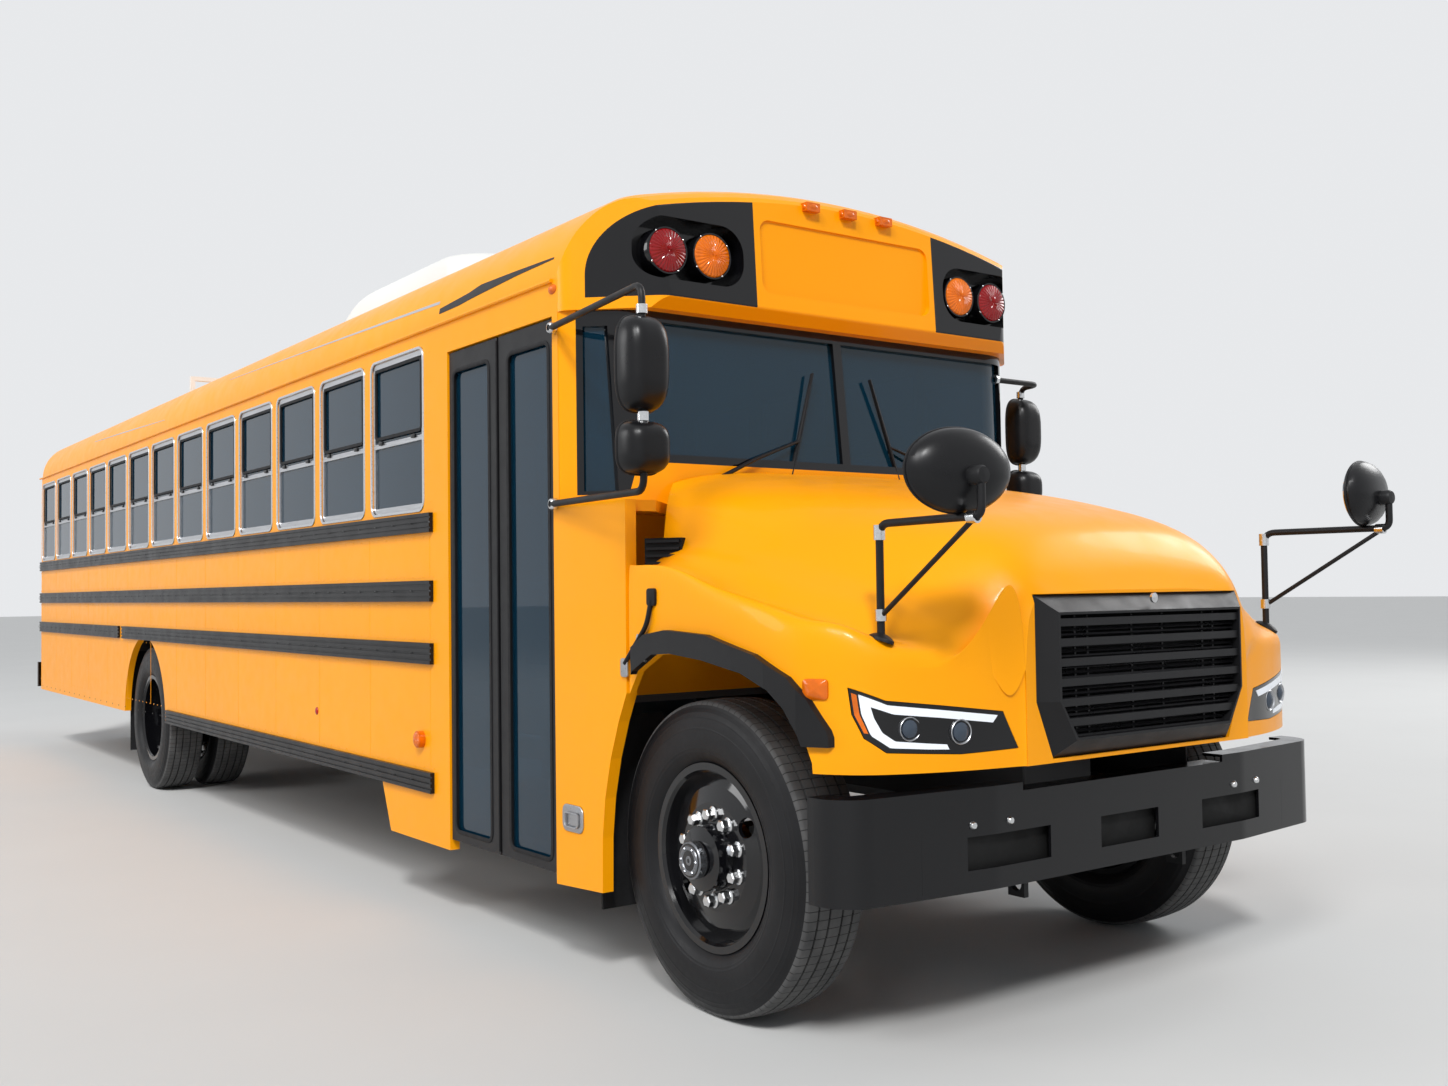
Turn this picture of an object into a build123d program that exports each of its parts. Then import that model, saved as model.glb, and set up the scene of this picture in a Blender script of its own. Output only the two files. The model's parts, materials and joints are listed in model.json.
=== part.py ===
"""Conventional school bus, 40 ft class, with a tilting hood and a two-leaf entry door.

Millimetres. +X forward, +Y to the driver's side, +Z up. The origin is on the ground, midway
between the rear bumper and the crossview mirrors that stand ahead of the nose. Places along the
bus are setbacks from the plane `front`, which lies between the bumper's face and the grille's.
"""

import os
from math import asin, cos, pi, sin, sqrt

from build123d import *

# ---------------------------------------------------------------- driving dimensions
bus_length = 12190  # rear bumper face to the plane that setbacks are measured from
mirror_reach = 345  # the crossview mirrors stand this far ahead of that plane
half_span = (bus_length + mirror_reach) / 2
front = half_span - mirror_reach
rear = -half_span  # rear bumper face
bumper_setback = 25  # front bumper face

body_half = 1220  # outside of the side walls
wall = 45  # side wall, roof and rear wall thickness
body_rear = rear + 110  # outside of the rear wall
skirt_z = 540  # bottom of the side walls
spring_z = 2610  # side wall meets the roof curve
roof_z = 3045  # crown of the roof
roof_corner = 330  # radius where side meets roof

axle_setback = 880  # front axle
wheelbase = 7050
tyre_radius = 525
tyre_width = 280
front_track_out = 1130  # outside of the front tyres
rear_track_out = 1190  # outside of the outer rear tyres
dual_spacing = 343
kingpin_half = 880
kingpin_radius = 18

door_rear = 2643  # rear edge of the entry opening
door_front = 1708
door_low = 350
door_high = 2470

window_count = 13
window_pitch = 700
window_width = 600
window_low = 1800
window_high = 2530
first_window = 2900  # front edge of the first window

rail_half = 430  # outside of the frame rails
rail_low = 700
rail_high = 955
floor_low = 1000
floor_high = 1030

windshield_setback = 1405  # at its foot
windshield_rake = 60  # how far the windshield leans back up to the header
corner_setback = 1665  # where the side turns into the slanted front corner
corner_half = 934  # half width of the front at the windshield's foot
sill_z = 1740  # bottom of the front greenhouse
header_z = 2480  # underside of the front cap

hood_rear = 1190  # rear edge of the hood at the sides

front_axle = front - axle_setback
rear_axle = front_axle - wheelbase


def behind(distance):
    """X of a place at a setback; a negative one lies ahead of the plane."""
    return front - distance


# ---------------------------------------------------------------- small helpers
def block(x, y, z):
    """Box from three (low, high) pairs, given in either order."""
    (x0, x1), (y0, y1), (z0, z1) = sorted(x), sorted(y), sorted(z)
    place = Pos((x0 + x1) / 2, (y0 + y1) / 2, (z0 + z1) / 2)
    return place * Box(x1 - x0, y1 - y0, z1 - z0)


def prism(points, direction):
    """Flat polygon through 3-D points, pushed along a direction."""
    return Solid.extrude(Face(Wire.make_polygon(points, close=True)), Vector(*direction))


def plate_xz(points, y0, y1):
    return prism([(x, y0, z) for x, z in points], (0, y1 - y0, 0))


def plate_yz(points, x0, x1):
    return prism([(x0, y, z) for y, z in points], (x1 - x0, 0, 0))


def plate_xy(points, z0, z1):
    return prism([(x, y, z0) for x, y in points], (0, 0, z1 - z0))


def rod(a, b, radius):
    """Cylinder from point a to point b."""
    run = Vector(*b) - Vector(*a)
    return Plane(origin=a, z_dir=run) * Pos(0, 0, run.length / 2) * Cylinder(radius, run.length)


def pipe(points, radius, bend):
    """Round bar along straight runs joined by arcs."""
    path = FilletPolyline(*points, radius=bend) if len(points) > 2 else Line(*points)
    start = Plane(origin=path @ 0, z_dir=path % 0)
    return sweep(start * Circle(radius), path=path)


def turned(profile, centre_x, centre_z):
    """Solid of revolution about a cross axle; the profile is (y, radius) points."""
    points = [(centre_x, y, centre_z + r) for y, r in profile]
    face = Face(Wire.make_polygon(points, close=True))
    axis = Axis((centre_x, 0, centre_z), (0, 1, 0))
    return Solid.revolve(face, 360, axis)


def mirrored(shape):
    return mirror(shape, about=Plane.XZ)


nodes = {}


def node(name, *shapes):
    """Keeps a named piece; several solids in one node never touch."""
    flat = []
    for shape in shapes:
        flat += shape if isinstance(shape, list) else [shape]
    solids = [s for shape in flat for s in shape.solids()]
    nodes[name] = solids[0] if len(solids) == 1 else Compound(children=solids)


# ---------------------------------------------------------------- body section
def roof_face(inset, x):
    """Roof outline across the bus, closed at the spring line, as a face at x."""
    half, low = body_half - inset, spring_z
    top, corner = roof_z - inset, roof_corner - inset
    flat = half - corner
    rise = top - low
    crown = (flat**2 + rise**2 - corner**2) / (2 * (rise - corner))
    lean = asin(flat / (crown - corner))
    side = (flat + corner * sin(lean), low + corner * cos(lean))
    mid = (flat + corner * cos((pi / 2 - lean) / 2), low + corner * sin((pi / 2 - lean) / 2))

    def at(y, z):
        return Vector(x, y, z)

    edges = [
        Edge.make_three_point_arc(at(half, low), at(*mid), at(*side)),
        Edge.make_three_point_arc(at(*side), at(0, top), at(-side[0], side[1])),
        Edge.make_three_point_arc(at(-side[0], side[1]), at(-mid[0], mid[1]), at(-half, low)),
        Edge.make_line(at(-half, low), at(half, low)),
    ]
    return Face(Wire(edges))


def roof_solid(inset, x0, x1, down=0):
    """Roof outline pushed along the bus, with a straight band below it."""
    lid = Solid.extrude(roof_face(inset, x0), Vector(x1 - x0, 0, 0))
    if down:
        half = body_half - inset
        lid = lid + block((x0, x1), (-half, half), (spring_z - down, spring_z))
    return lid


cap_depth = 330  # length of the front and rear roof caps
cap_front = behind(1365)  # foremost point of the front cap
cap_low = header_z
# rounding of the cap's edge: how far behind its face, and how far inside the roof's outline there
cap_rounding = [(cap_depth, 0), (160, 0), (110, 8), (70, 24), (38, 47), (14, 82), (0, 122)]
front_corner = (270, 300)  # slanted corner of the front cap: along the bus and across
rear_corner = 125  # size of the body's rounded rear corners
cap_solid_depth = 180  # the cap's hollow ends this far behind its face
panel_half = 490  # the yellow sign panel between the black lamp panels
panel_low = 2525
panel_rim = 68  # yellow rim between a lamp panel and the roof's outline
pocket_depth = 112
pocket = (470, 240, 105)  # recess around two lamps: across, up and its corner radius
sign = (920, 296, 48)  # recess of the sign panel, in the same way
sign_middle_z = 2738


def cap_plan(corner, inset=0):
    """Plan outline of a roof cap: a flat face and slanted corners with rounded ends."""
    back = cap_front - cap_depth - 100
    along, across = corner
    turn = cap_front - along - inset * 0.42
    half, flat = body_half - inset, body_half - across - inset * 0.42
    face = cap_front - inset
    points = [(back, half), (turn, half), (face, flat), (face, -flat), (turn, -half), (back, -half)]
    line = FilletPolyline(*points, radius=[0.35 * min(corner)] * 4)
    return make_face([*line.edges(), Edge.make_line(points[-1], points[0])])


def roof_cap(corner):
    """Solid cap: the roof section drawn in towards its face, trimmed by its plan, with a bevelled lip."""
    back, low = cap_front - cap_depth, cap_low - 10
    rounds = [roof_face(inset, cap_front - depth).outer_wire() for depth, inset in cap_rounding]
    band = block((back, cap_front), (-body_half, body_half), (cap_low, spring_z))
    cap = Solid.make_loft(rounds, ruled=True) + band
    cap = cap & extrude(Pos(0, 0, low) * cap_plan(corner), roof_z - cap_low + 20)
    side = FilletPolyline(
        (back, roof_z + 1), (cap_front - 30, roof_z + 1), (cap_front, panel_low), (cap_front - 50, low),
        radius=[5, 20],
    )
    ends = Polyline(side @ 1, (back, low), side @ 0)
    face = make_face([*side.edges(), *ends.edges()])
    return cap & extrude(Plane.XZ * face, body_half + 10, both=True)


def recess(size, y, z, depth):
    """Cutter of a rounded rectangle, seen from the front, this deep in the cap's face."""
    width, height, radius = size
    plane = Plane(origin=(cap_front - depth, y, z), x_dir=(0, 1, 0), z_dir=(1, 0, 0))
    return extrude(plane * RectangleRounded(width, height, radius), depth + 50)


lamp_places = {"red": (887, 2706), "amber": (679, 2711)}  # y and z, on the driver's side
lamp_radius = 92


def cap_parts(corner, skirt_x):
    """A hollow cap and its two black lamp panels; skirt_x is where its skirt ends."""
    back = cap_front - cap_depth
    hollow = roof_solid(wall, back - 1, cap_front - cap_solid_depth, down=spring_z - cap_low - 40)
    hollow = hollow & extrude(Pos(0, 0, cap_low) * cap_plan(corner, 2 * wall), roof_z - cap_low)
    skirt = block((back - 1, skirt_x), (-body_half - 1, body_half + 1), (cap_low - 1, spring_z))
    cap = roof_cap(corner) - hollow - skirt
    cap = cap - recess(sign, 0, sign_middle_z, 30)
    field = roof_solid(panel_rim, cap_front - 300, cap_front + 60, down=spring_z - panel_low)
    middle, panels = cap, []
    for side in (1, -1):
        y = (side * panel_half, side * body_half)
        lot = field & block((cap_front - 300, cap_front + 60), y, (panel_low, roof_z))
        middle = middle - lot
        panels.append((cap & lot) - recess(pocket, side * 783, 2709, pocket_depth))
    return middle, panels


def roof_parts():
    """Roof skin, and the two end caps with their black lamp panels."""
    back = cap_front - cap_depth
    x0 = body_rear + cap_depth
    node("roof_shell", roof_solid(0, x0, back) - roof_solid(wall, x0 - 1, back + 1, down=1))
    across = Plane(origin=((cap_front + body_rear) / 2, 0, 0), z_dir=(1, 0, 0))
    middle, panels = cap_parts(front_corner, behind(corner_setback))
    rear_middle, rear_panels = cap_parts((rear_corner, rear_corner), cap_front - rear_corner)
    node("roof_cap_front", middle)
    node("roof_cap_rear", mirror(rear_middle, about=across))
    node("lamp_panels", panels, [mirror(panel, about=across) for panel in rear_panels])


def warning_lamps():
    """Eight round roof lamps, in the recesses of the black panels."""
    found = []
    for y, z in lamp_places.values():
        for side in (1, -1):
            for x, out in ((cap_front - pocket_depth, 1), (body_rear + pocket_depth, -1)):
                found.append(rod((x, side * y, z), (x + out * 68, side * y, z), lamp_radius))
    node("warning_lamps", found)


# ---------------------------------------------------------------- side walls
def window_edges():
    """Rear and front x of each side window, from the front one back."""
    for k in range(window_count):
        x1 = behind(first_window + k * window_pitch)
        yield x1 - window_width, x1


arch_radius = 600
extra_window = (behind(2800), behind(2200))  # driver's side, opposite the entry door
driver_window = (behind(2160), behind(1710), 1760, 2440)


def arch_cut(y0, y1):
    """Round rear wheel opening, open at the bottom."""
    y0, y1 = sorted((y0, y1))
    disc = rod((rear_axle, y0, tyre_radius), (rear_axle, y1, tyre_radius), arch_radius)
    low = block((rear_axle - arch_radius, rear_axle + arch_radius), (y0, y1), (0, tyre_radius))
    return disc + low


def side_wall(side, x1, skirt_points):
    inner, outer = side * (body_half - wall), side * body_half
    x0 = body_rear + rear_corner
    outline = [(x0, skirt_z), *skirt_points, (x1, spring_z), (x0, spring_z)]
    wall_plate = plate_xz(outline, inner, outer)
    for a, b in window_edges():
        wall_plate = wall_plate - block((a, b), (inner - side, outer + side), (window_low, window_high))
    return wall_plate - arch_cut(inner - side, outer + side)


def side_walls():
    right_edge = behind(door_rear)
    step = [(right_edge - 750, skirt_z), (right_edge - 645, 310), (right_edge, 310)]
    node("side_wall_right", side_wall(-1, right_edge, step))

    left_edge = behind(corner_setback)
    lower = [(behind(1900), skirt_z), (behind(1900), 340), (behind(arch_foot), 340)]
    upper = [(behind(hood_rear + 8), sill_z), (left_edge, sill_z)]
    left = side_wall(1, left_edge, [*lower, *arch_rear_edge(), *upper])
    through = (body_half - wall - 1, body_half + 1)
    left = left - block(extra_window, through, (window_low, window_high))
    a, b, low, high = driver_window
    left = left - block((a, b), through, (low, high))
    pad = (behind(2440), behind(2385))
    bracket = block(pad, (body_half, body_half + 8), (1490, 1690))
    for z in (1492, 1664):
        bracket = bracket + block((pad[0], pad[1] - 5), (body_half, stop_arm_y + 22), (z, z + 24))
    node("side_wall_left", left + bracket)


arch_foot = 1376  # setback of the front arch's rear foot


def arch_rear_edge():
    """Rear side of the front wheel opening, from the bottom up, as x and z."""
    table = [(1372, 536), (1352, 679), (1312, 822), (1256, 958), (1202, 1060)]  # setback, z
    return [(behind(setback), z) for setback, z in table]


stop_arm_y = body_half + 38  # centre plane of the folded stop arm


def entry_portal():
    """Door post and the panel between the entry door and the hood."""
    back = behind(door_front)
    outline = [
        (back, 320),
        (behind(arch_foot), 340),
        *arch_rear_edge(),
        (behind(hood_rear + 8), sill_z),
        (behind(corner_setback), sill_z),
        (behind(corner_setback), spring_z),
        (back, spring_z),
    ]
    post = plate_xz(outline, -(body_half - wall), -body_half)
    head = block(
        (behind(door_rear), behind(door_front)),
        (-(body_half - wall), -body_half),
        (door_high, spring_z),
    )
    node("entry_portal", post + head)


shield_foot_z = 1905  # the front stands upright up to here and leans back above it
shield_outline = [(22, 1930), (990, 1930), (1018, 2440), (22, 2440)]  # y and z of one half
corner_outline = [(1050, 1795), (1148, 1795), (1148, 2420), (1078, 2420)]
black_outline = [(995, 1898), (1020, 1780), (1168, 1780), (1168, header_z + 1)]  # their frame


def front_section(inset, setback, z):
    """Plan of the front of the cabin at a height, as a closed wire; setback is its face's."""
    half = body_half - inset
    turn = behind(corner_setback) - inset * 0.4
    slope = (body_half - corner_half) / (corner_setback - windshield_setback)
    flat = corner_half + slope * (setback - windshield_setback) - inset * 0.45
    face = behind(setback) - inset
    back = behind(corner_setback + 60)
    points = [(back, half), (turn, half), (face, flat), (face, -flat), (turn, -half), (back, -half)]
    line = FilletPolyline(*points, radius=[30, 240, 240, 30])
    close = Edge.make_line(points[-1], points[0])
    return Pos(0, 0, z) * Wire([*line.edges(), close])


def front_form(inset, z0=sill_z, z1=header_z):
    """Solid within the front's outside: upright at the foot, then leaning back."""
    foot = front_section(inset, windshield_setback, z0)
    upright = Solid.extrude(Face(foot), Vector(0, 0, shield_foot_z - z0))
    rake = windshield_rake * (z1 - shield_foot_z) / (header_z - shield_foot_z)
    wires = [
        front_section(inset, windshield_setback, shield_foot_z),
        front_section(inset, windshield_setback + rake, z1),
    ]
    return upright + Solid.make_loft(wires, ruled=True)


def front_view_cut(outline, side):
    """Cutter along the bus through the front of the cabin, from an outline seen from ahead."""
    return plate_yz([(side * y, z) for y, z in outline], behind(corner_setback + 40), behind(1300))


def front_wall():
    """Ring that holds the windshield and corner windows, and the wall and cowl below it."""
    ring = front_form(0) - front_form(wall, sill_z - 1, header_z + 1)
    past_corner = (behind(corner_setback + 70), behind(corner_setback))
    ring = ring - block(past_corner, (-body_half - 1, body_half + 1), (sill_z - 1, header_z + 1))
    for side in (1, -1):
        for outline in (shield_outline, corner_outline):
            ring = ring - front_view_cut(outline, side)
    black = front_view_cut(black_outline + [(-y, z) for y, z in reversed(black_outline)], 1)
    node("windshield_frame", ring & black)

    half = body_half - wall - 1
    panel = block((behind(1470), behind(1440)), (-half, half), (floor_high, sill_z))
    side_x, centre_x = behind(hood_rear + 25), behind(1403)
    right = [(behind(1440), 940), (behind(1640), half), (side_x, half), (side_x, 1080), (centre_x, 900)]
    ledge = plate_xy(right + [(x, -y) for x, y in reversed(right)], sill_z - 40, sill_z)
    node("front_wall", (ring - black) + panel + ledge)


# ---------------------------------------------------------------- rear wall and its door
exit_half = 480
exit_low, exit_high = 1040, 2420


def rear_wall():
    x0 = body_rear
    points = [
        (x0 + rear_corner, body_half),
        (x0, body_half),
        (x0, -body_half),
        (x0 + rear_corner, -body_half),
    ]
    outer = FilletPolyline(*points, radius=[rear_corner - 5, rear_corner - 5])
    face = make_face([*outer.edges(), Edge.make_line(points[-1], points[0])])
    inner_half = body_half - wall
    inner_points = [
        (x0 + rear_corner, inner_half),
        (x0 + wall, inner_half),
        (x0 + wall, -inner_half),
        (x0 + rear_corner, -inner_half),
    ]
    inner = FilletPolyline(*inner_points, radius=[rear_corner - 5 - wall] * 2)
    hollow = make_face([*inner.edges(), Edge.make_line(inner_points[-1], inner_points[0])])
    height = cap_low - skirt_z
    shell = extrude(Pos(0, 0, skirt_z) * face, height) - extrude(Pos(0, 0, skirt_z - 1) * hollow, height + 2)
    shell = shell - block((x0 - 1, x0 + wall + 1), (-exit_half, exit_half), (exit_low, exit_high))
    for side in (1, -1):
        shell = shell - block((x0 - 1, x0 + wall + 1), (side * 560, side * 1040), (1650, 2380))
    shell = shell - block((x0 - 1, x0 + wall + 1), (-rail_half - 10, rail_half + 10), (skirt_z - 1, 795))
    node("rear_wall", shell)


def emergency_door():
    gap = 8
    leaf_z = (exit_low + gap, exit_high - gap)
    leaf = block((body_rear - 8, body_rear + 32), (-exit_half + gap, exit_half - gap), leaf_z)
    for low, high in ((1200, 1560), (1700, 2330)):
        leaf = leaf - block((body_rear - 9, body_rear + 33), (-exit_half + 110, exit_half - 110), (low, high))
    node("emergency_door", leaf)
    panes = [
        block((body_rear + 8, body_rear + 14), (-exit_half + 110, exit_half - 110), (low, high))
        for low, high in ((1200, 1560), (1700, 2330))
    ]
    node("emergency_door_glass", panes)


# ---------------------------------------------------------------- windows
frame_bar = 28


def window_unit(x0, x1, side, low=window_low, high=window_high, split=0.45):
    """Aluminium frame with a meeting rail, and its two panes."""
    outer, inner = side * (body_half - 6), side * (body_half - 36)
    frame = block((x0, x1), (inner, outer), (low, high))
    meet = low + (high - low) * split
    cuts = [(low + frame_bar, meet - 12), (meet + 12, high - frame_bar)]
    for a, b in cuts:
        frame = frame - block((x0 + frame_bar, x1 - frame_bar), (inner - side, outer + side), (a, b))
    mid = side * (body_half - 21)
    panes = [block((x0 + frame_bar, x1 - frame_bar), (mid, mid + side * 5), cut) for cut in cuts]
    return frame, panes


def windows():
    frames, panes = [], []
    for side in (1, -1):
        for x0, x1 in window_edges():
            frame, glass = window_unit(x0, x1, side)
            frames.append(frame)
            panes += glass
    a, b, low, high = driver_window
    for x0, x1, z0, z1 in ((*extra_window, window_low, window_high), (a, b, low, high)):
        frame, glass = window_unit(x0, x1, 1, z0, z1)
        frames.append(frame)
        panes += glass
    node("window_frames", frames)
    for side in (1, -1):
        panes.append(block((body_rear + 18, body_rear + 24), (side * 560, side * 1040), (1650, 2380)))
    sheet = front_form(18) - front_form(24, sill_z - 1, header_z + 1)
    for side in (1, -1):
        for outline in (shield_outline, corner_outline):
            panes.append(sheet & front_view_cut(outline, side))
    node("window_glass", panes)


# ---------------------------------------------------------------- rub rails
def rub_rails():
    """Ribbed steel rails along the side walls: low z, high z, rear x, front x."""
    back = body_rear + rear_corner
    right_end = behind(2800)
    table = [
        (1688, 1782, back, right_end),
        (1377, 1481, back, right_end),
        (1099, 1203, back, rear_axle - 760),
        (1099, 1203, rear_axle - 640, right_end),
        (531, 631, rear_axle + arch_radius + 60, right_end),
    ]
    found = []
    for side in (1, -1):
        face = side * body_half
        for low, high, x0, x1 in table:
            bar = block((x0, x1), (face, face + side * 14), (low + 8, high - 8))
            step = (high - low) / 4
            for k in range(4):
                z = low + step * (k + 0.5)
                bar = bar + block((x0, x1), (face, face + side * 20), (z - 8, z + 8))
            found.append(bar)
    node("rub_rails", found)


# ---------------------------------------------------------------- chassis
tow_hole = 22


def frame_rails():
    """The two channel rails, each with its bumper brackets and tow eyes."""
    web, flange = 8, 75
    x0, x1 = body_rear + wall + 2, behind(105)
    z0, z1, out = rail_low, rail_high, rail_half
    points = [
        (out, z0), (out, z1), (out - flange, z1), (out - flange, z1 - web),
        (out - web, z1 - web), (out - web, z0 + web), (out - flange, z0 + web), (out - flange, z0),
    ]
    rail = plate_yz(points, x0, x1)
    bumper_x = behind(bumper_setback + 10)
    # x of the rail's end, the bumper's sheet, the bracket's foot and the eye, then the eye's foot
    ends = [(x1, bumper_x, x1 - 60, behind(150), 425), (x0, rear + 10, x0 + 60, rear + 118, 470)]
    for x_rail, x_bumper, x_foot, x_eye, eye_low in ends:
        y = (340, out - web)
        rail = rail + block((x_rail, x_bumper), y, (710, 765)) + block((x_rail, x_foot), y, (z0, 765))
        eye = block((x_eye - 34, x_eye + 34), (402, out - web), (eye_low, 720))
        hole_z = eye_low + 40
        rail = rail + (eye - rod((x_eye, 390, hole_z), (x_eye, 440, hole_z), tow_hole))
    node("frame_rails", rail, mirrored(rail))

    found = []
    for setback in (140, 1780, 3300, 5000, 6700, 7580, 8560, 10300, 11900):
        x = behind(setback)
        found.append(block((x - 30, x + 30), (-out + web, out - web), (z1 - 105, z1 - web)))
    node("crossmembers", found)


def bumper_channel(low, high, x_face, sign, half, wrap, corner, bow, depth):
    """Channel open to the bus, bent along the bumper's plan; bow is the setback of its corners."""
    sheet = 10

    def outline(offset):
        points = [
            (x_face - sign * wrap, half - offset),
            (x_face - sign * (bow + offset), half - offset),
            (x_face - sign * offset, 640),
            (x_face - sign * offset, -640),
            (x_face - sign * (bow + offset), -(half - offset)),
            (x_face - sign * wrap, -(half - offset)),
        ]
        bends = max(corner - offset, 8)
        line = FilletPolyline(*points, radius=[bends, 300, 300, bends])
        return make_face([*line.edges(), Edge.make_line(points[-1], points[0])])

    def band(near, far, z0, z1):
        outer = extrude(Pos(0, 0, z0) * outline(near), z1 - z0)
        return outer - extrude(Pos(0, 0, z0 - 1) * outline(far), z1 - z0 + 2)

    return band(0, depth, low, high) - band(sheet, depth + 1, low + sheet, high - sheet)


def front_bumper():
    low, high, middle_high = 500, 810, 785
    face = behind(bumper_setback)
    args = (face, 1, body_half - 5, 205, 130, 60, 80)
    zone = block((face - 300, face + 5), (-520, 520), (low - 5, high + 5))
    sides = bumper_channel(low, high, *args) - zone
    bumper = sides + (bumper_channel(low, middle_high, *args) & zone)
    for y0, y1 in ((-755, -395), (-150, 150), (395, 755)):
        bumper = bumper - block((face - 30, face + 5), (y0, y1), (565, 665))
    node("front_bumper", bumper)


def rear_bumper():
    node("rear_bumper", bumper_channel(560, 800, rear, -1, body_half + 8, 106, 60, 10, 60))


def floor_deck():
    half = body_half - wall - 1
    x0, x1 = body_rear + wall + 1, behind(1472)
    cut = 102
    plan = [(x0, half - cut), (x0 + cut, half), (x1, half), (x1, -half), (x0 + cut, -half), (x0, -half + cut)]
    deck = plate_xy(plan, floor_low, floor_high)
    for k in range(15):
        x = x0 + 200 + k * 690
        if abs(x - rear_axle) > arch_radius + 60 and not behind(door_rear + 60) < x < behind(door_front - 60):
            deck = deck + block((x - 30, x + 30), (-half, half), (rail_high, floor_low))
    well_top = 1200
    well_x = (rear_axle - 620, rear_axle + 620)
    inner_x = (rear_axle - 606, rear_axle + 606)
    through = (floor_low - 1, floor_high + 1)
    for side in (1, -1):
        over = block(well_x, (side * 520, side * half), (floor_low, well_top))
        under = block(inner_x, (side * 534, side * (half + 1)), (floor_low - 1, well_top - 14))
        deck = deck - block(well_x, (side * 520, side * (half + 1)), through)
        deck = deck + (over - under)
    deck = deck - block((behind(door_rear), behind(door_front)), (-half - 1, -560), through)
    node("floor_deck", deck)


def step_well():
    """Entry steps: three treads and their risers, folded from one sheet."""
    sheet = 12
    rise = (floor_low - 372) / 3
    y, z = -(body_half - 70), 360
    points_top, points_low = [(y, z + sheet)], [(y, z)]
    run = 190
    for k in range(3):
        y_in = y + run
        points_top += [(y_in, z + sheet), (y_in, z + sheet + rise)]
        points_low += [(y_in + sheet, z), (y_in + sheet, z + rise)]
        y, z = y_in, z + rise
    last_top = points_top[-1]
    points_top[-1] = (last_top[0], floor_low)
    points_low[-1] = (points_low[-1][0], floor_low)
    outline = points_low + points_top[::-1]
    x0, x1 = behind(door_rear - 4), behind(door_front + 4)
    node("step_well", plate_yz(outline, x0, x1))


def suspension_and_axles():
    beam = [(-760, 560), (-620, 545), (-520, 470), (520, 470), (620, 545), (760, 560),
            (760, 480), (640, 465), (540, 385), (-540, 385), (-640, 465), (-760, 480)]
    axle = plate_yz([(y, z) for y, z in beam], front_axle - 45, front_axle + 45)
    for side in (1, -1):
        y = side * kingpin_half
        axle = axle + block((front_axle - 40, front_axle + 40), (side * 755, y), (485, 555))
        axle = axle + rod((front_axle, y, 470), (front_axle, y, 570), 45)
        axle = axle - rod((front_axle, y, 469), (front_axle, y, 571), kingpin_radius + 0.5)
    for side in (1, -1):
        axle = axle + block((front_axle - 60, front_axle + 60), (side * 350, side * 430), (470, 500))
    node("front_axle", axle + springs(front_axle, 500, 1200))

    tube = rod((rear_axle, -580, tyre_radius), (rear_axle, 580, tyre_radius), 75)
    tube = tube + rod((rear_axle, -870, tyre_radius), (rear_axle, 870, tyre_radius), 60)
    for side in (1, -1):
        tube = tube + rod((rear_axle, side * 610, tyre_radius), (rear_axle, side * 770, tyre_radius), 195)
    bowl = rod((rear_axle - 90, 0, tyre_radius), (rear_axle + 120, 0, tyre_radius), 215)
    nose = rod((rear_axle + 100, 0, shaft_tail_z), (rear_axle + 330, 0, shaft_tail_z), 85)
    node("rear_axle", tube + bowl + nose + springs(rear_axle, tyre_radius + 73, 1300))

    places = [behind(2560), behind(2600), behind(4980), rear_axle + 370, rear_axle + 330]
    heights = [770, 770, 765, shaft_tail_z, shaft_tail_z]
    shaft = block((behind(5020), behind(4980)), (-50, 50), (765, rail_high - 105))
    for k in range(4):
        radius = 60 if k in (0, 3) else 48
        shaft = shaft + rod((places[k], 0, heights[k]), (places[k + 1], 0, heights[k + 1]), radius)
    node("drive_shaft", shaft)


shaft_tail_z = tyre_radius + 30


def springs(axle_x, seat_z, length):
    """Leaf springs of one axle, stepped, with a hanger at each end."""
    found = None
    for side in (1, -1):
        y = (side * 350, side * 425)
        for k in range(4):
            span = length / 2 - k * 130
            leaf = block((axle_x - span, axle_x + span), y, (seat_z + 36 - 12 * k, seat_z + 48 - 12 * k))
            found = leaf if found is None else found + leaf
        for end in (-1, 1):
            hang = axle_x + end * (length / 2 - 30)
            found = found + block((hang - 25, hang + 25), y, (seat_z + 48, rail_low))
    return found


def power_unit():
    engine = block((behind(1420), behind(420)), (-290, 290), (640, 1380))
    gearbox = block((behind(2560), behind(1420)), (-200, 200), (640, 940))
    gearbox = gearbox - block((behind(1815), behind(1745)), (-210, 210), (840, 950))
    core = block((behind(330), behind(250)), (-400, 400), (960, 1330))
    node("engine_and_radiator", engine + gearbox, core)


def tanks_and_exhaust():
    x0 = behind(5600)
    tank = block((x0, x0 + 1300), (470, 1060), (480, 900))
    tank = fillet(tank.edges().filter_by(Axis.X), 90)
    node("fuel_tank", tank)
    y = -560
    muffler = rod((behind(4600), y, 640), (behind(3500), y, 640), 130)
    lead = pipe([(behind(3500), y, 640), (behind(3000), y, 660), (behind(2500), -480, 660)], 50, 150)
    tail = pipe([(behind(4600), y, 640), (rear_axle + 760, y, 640)], 50, 100)
    node("exhaust", muffler + lead + tail)


# ---------------------------------------------------------------- wheels
rim_half = 112  # half the width of a rim over its flanges
bolt_circle = 143


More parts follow.
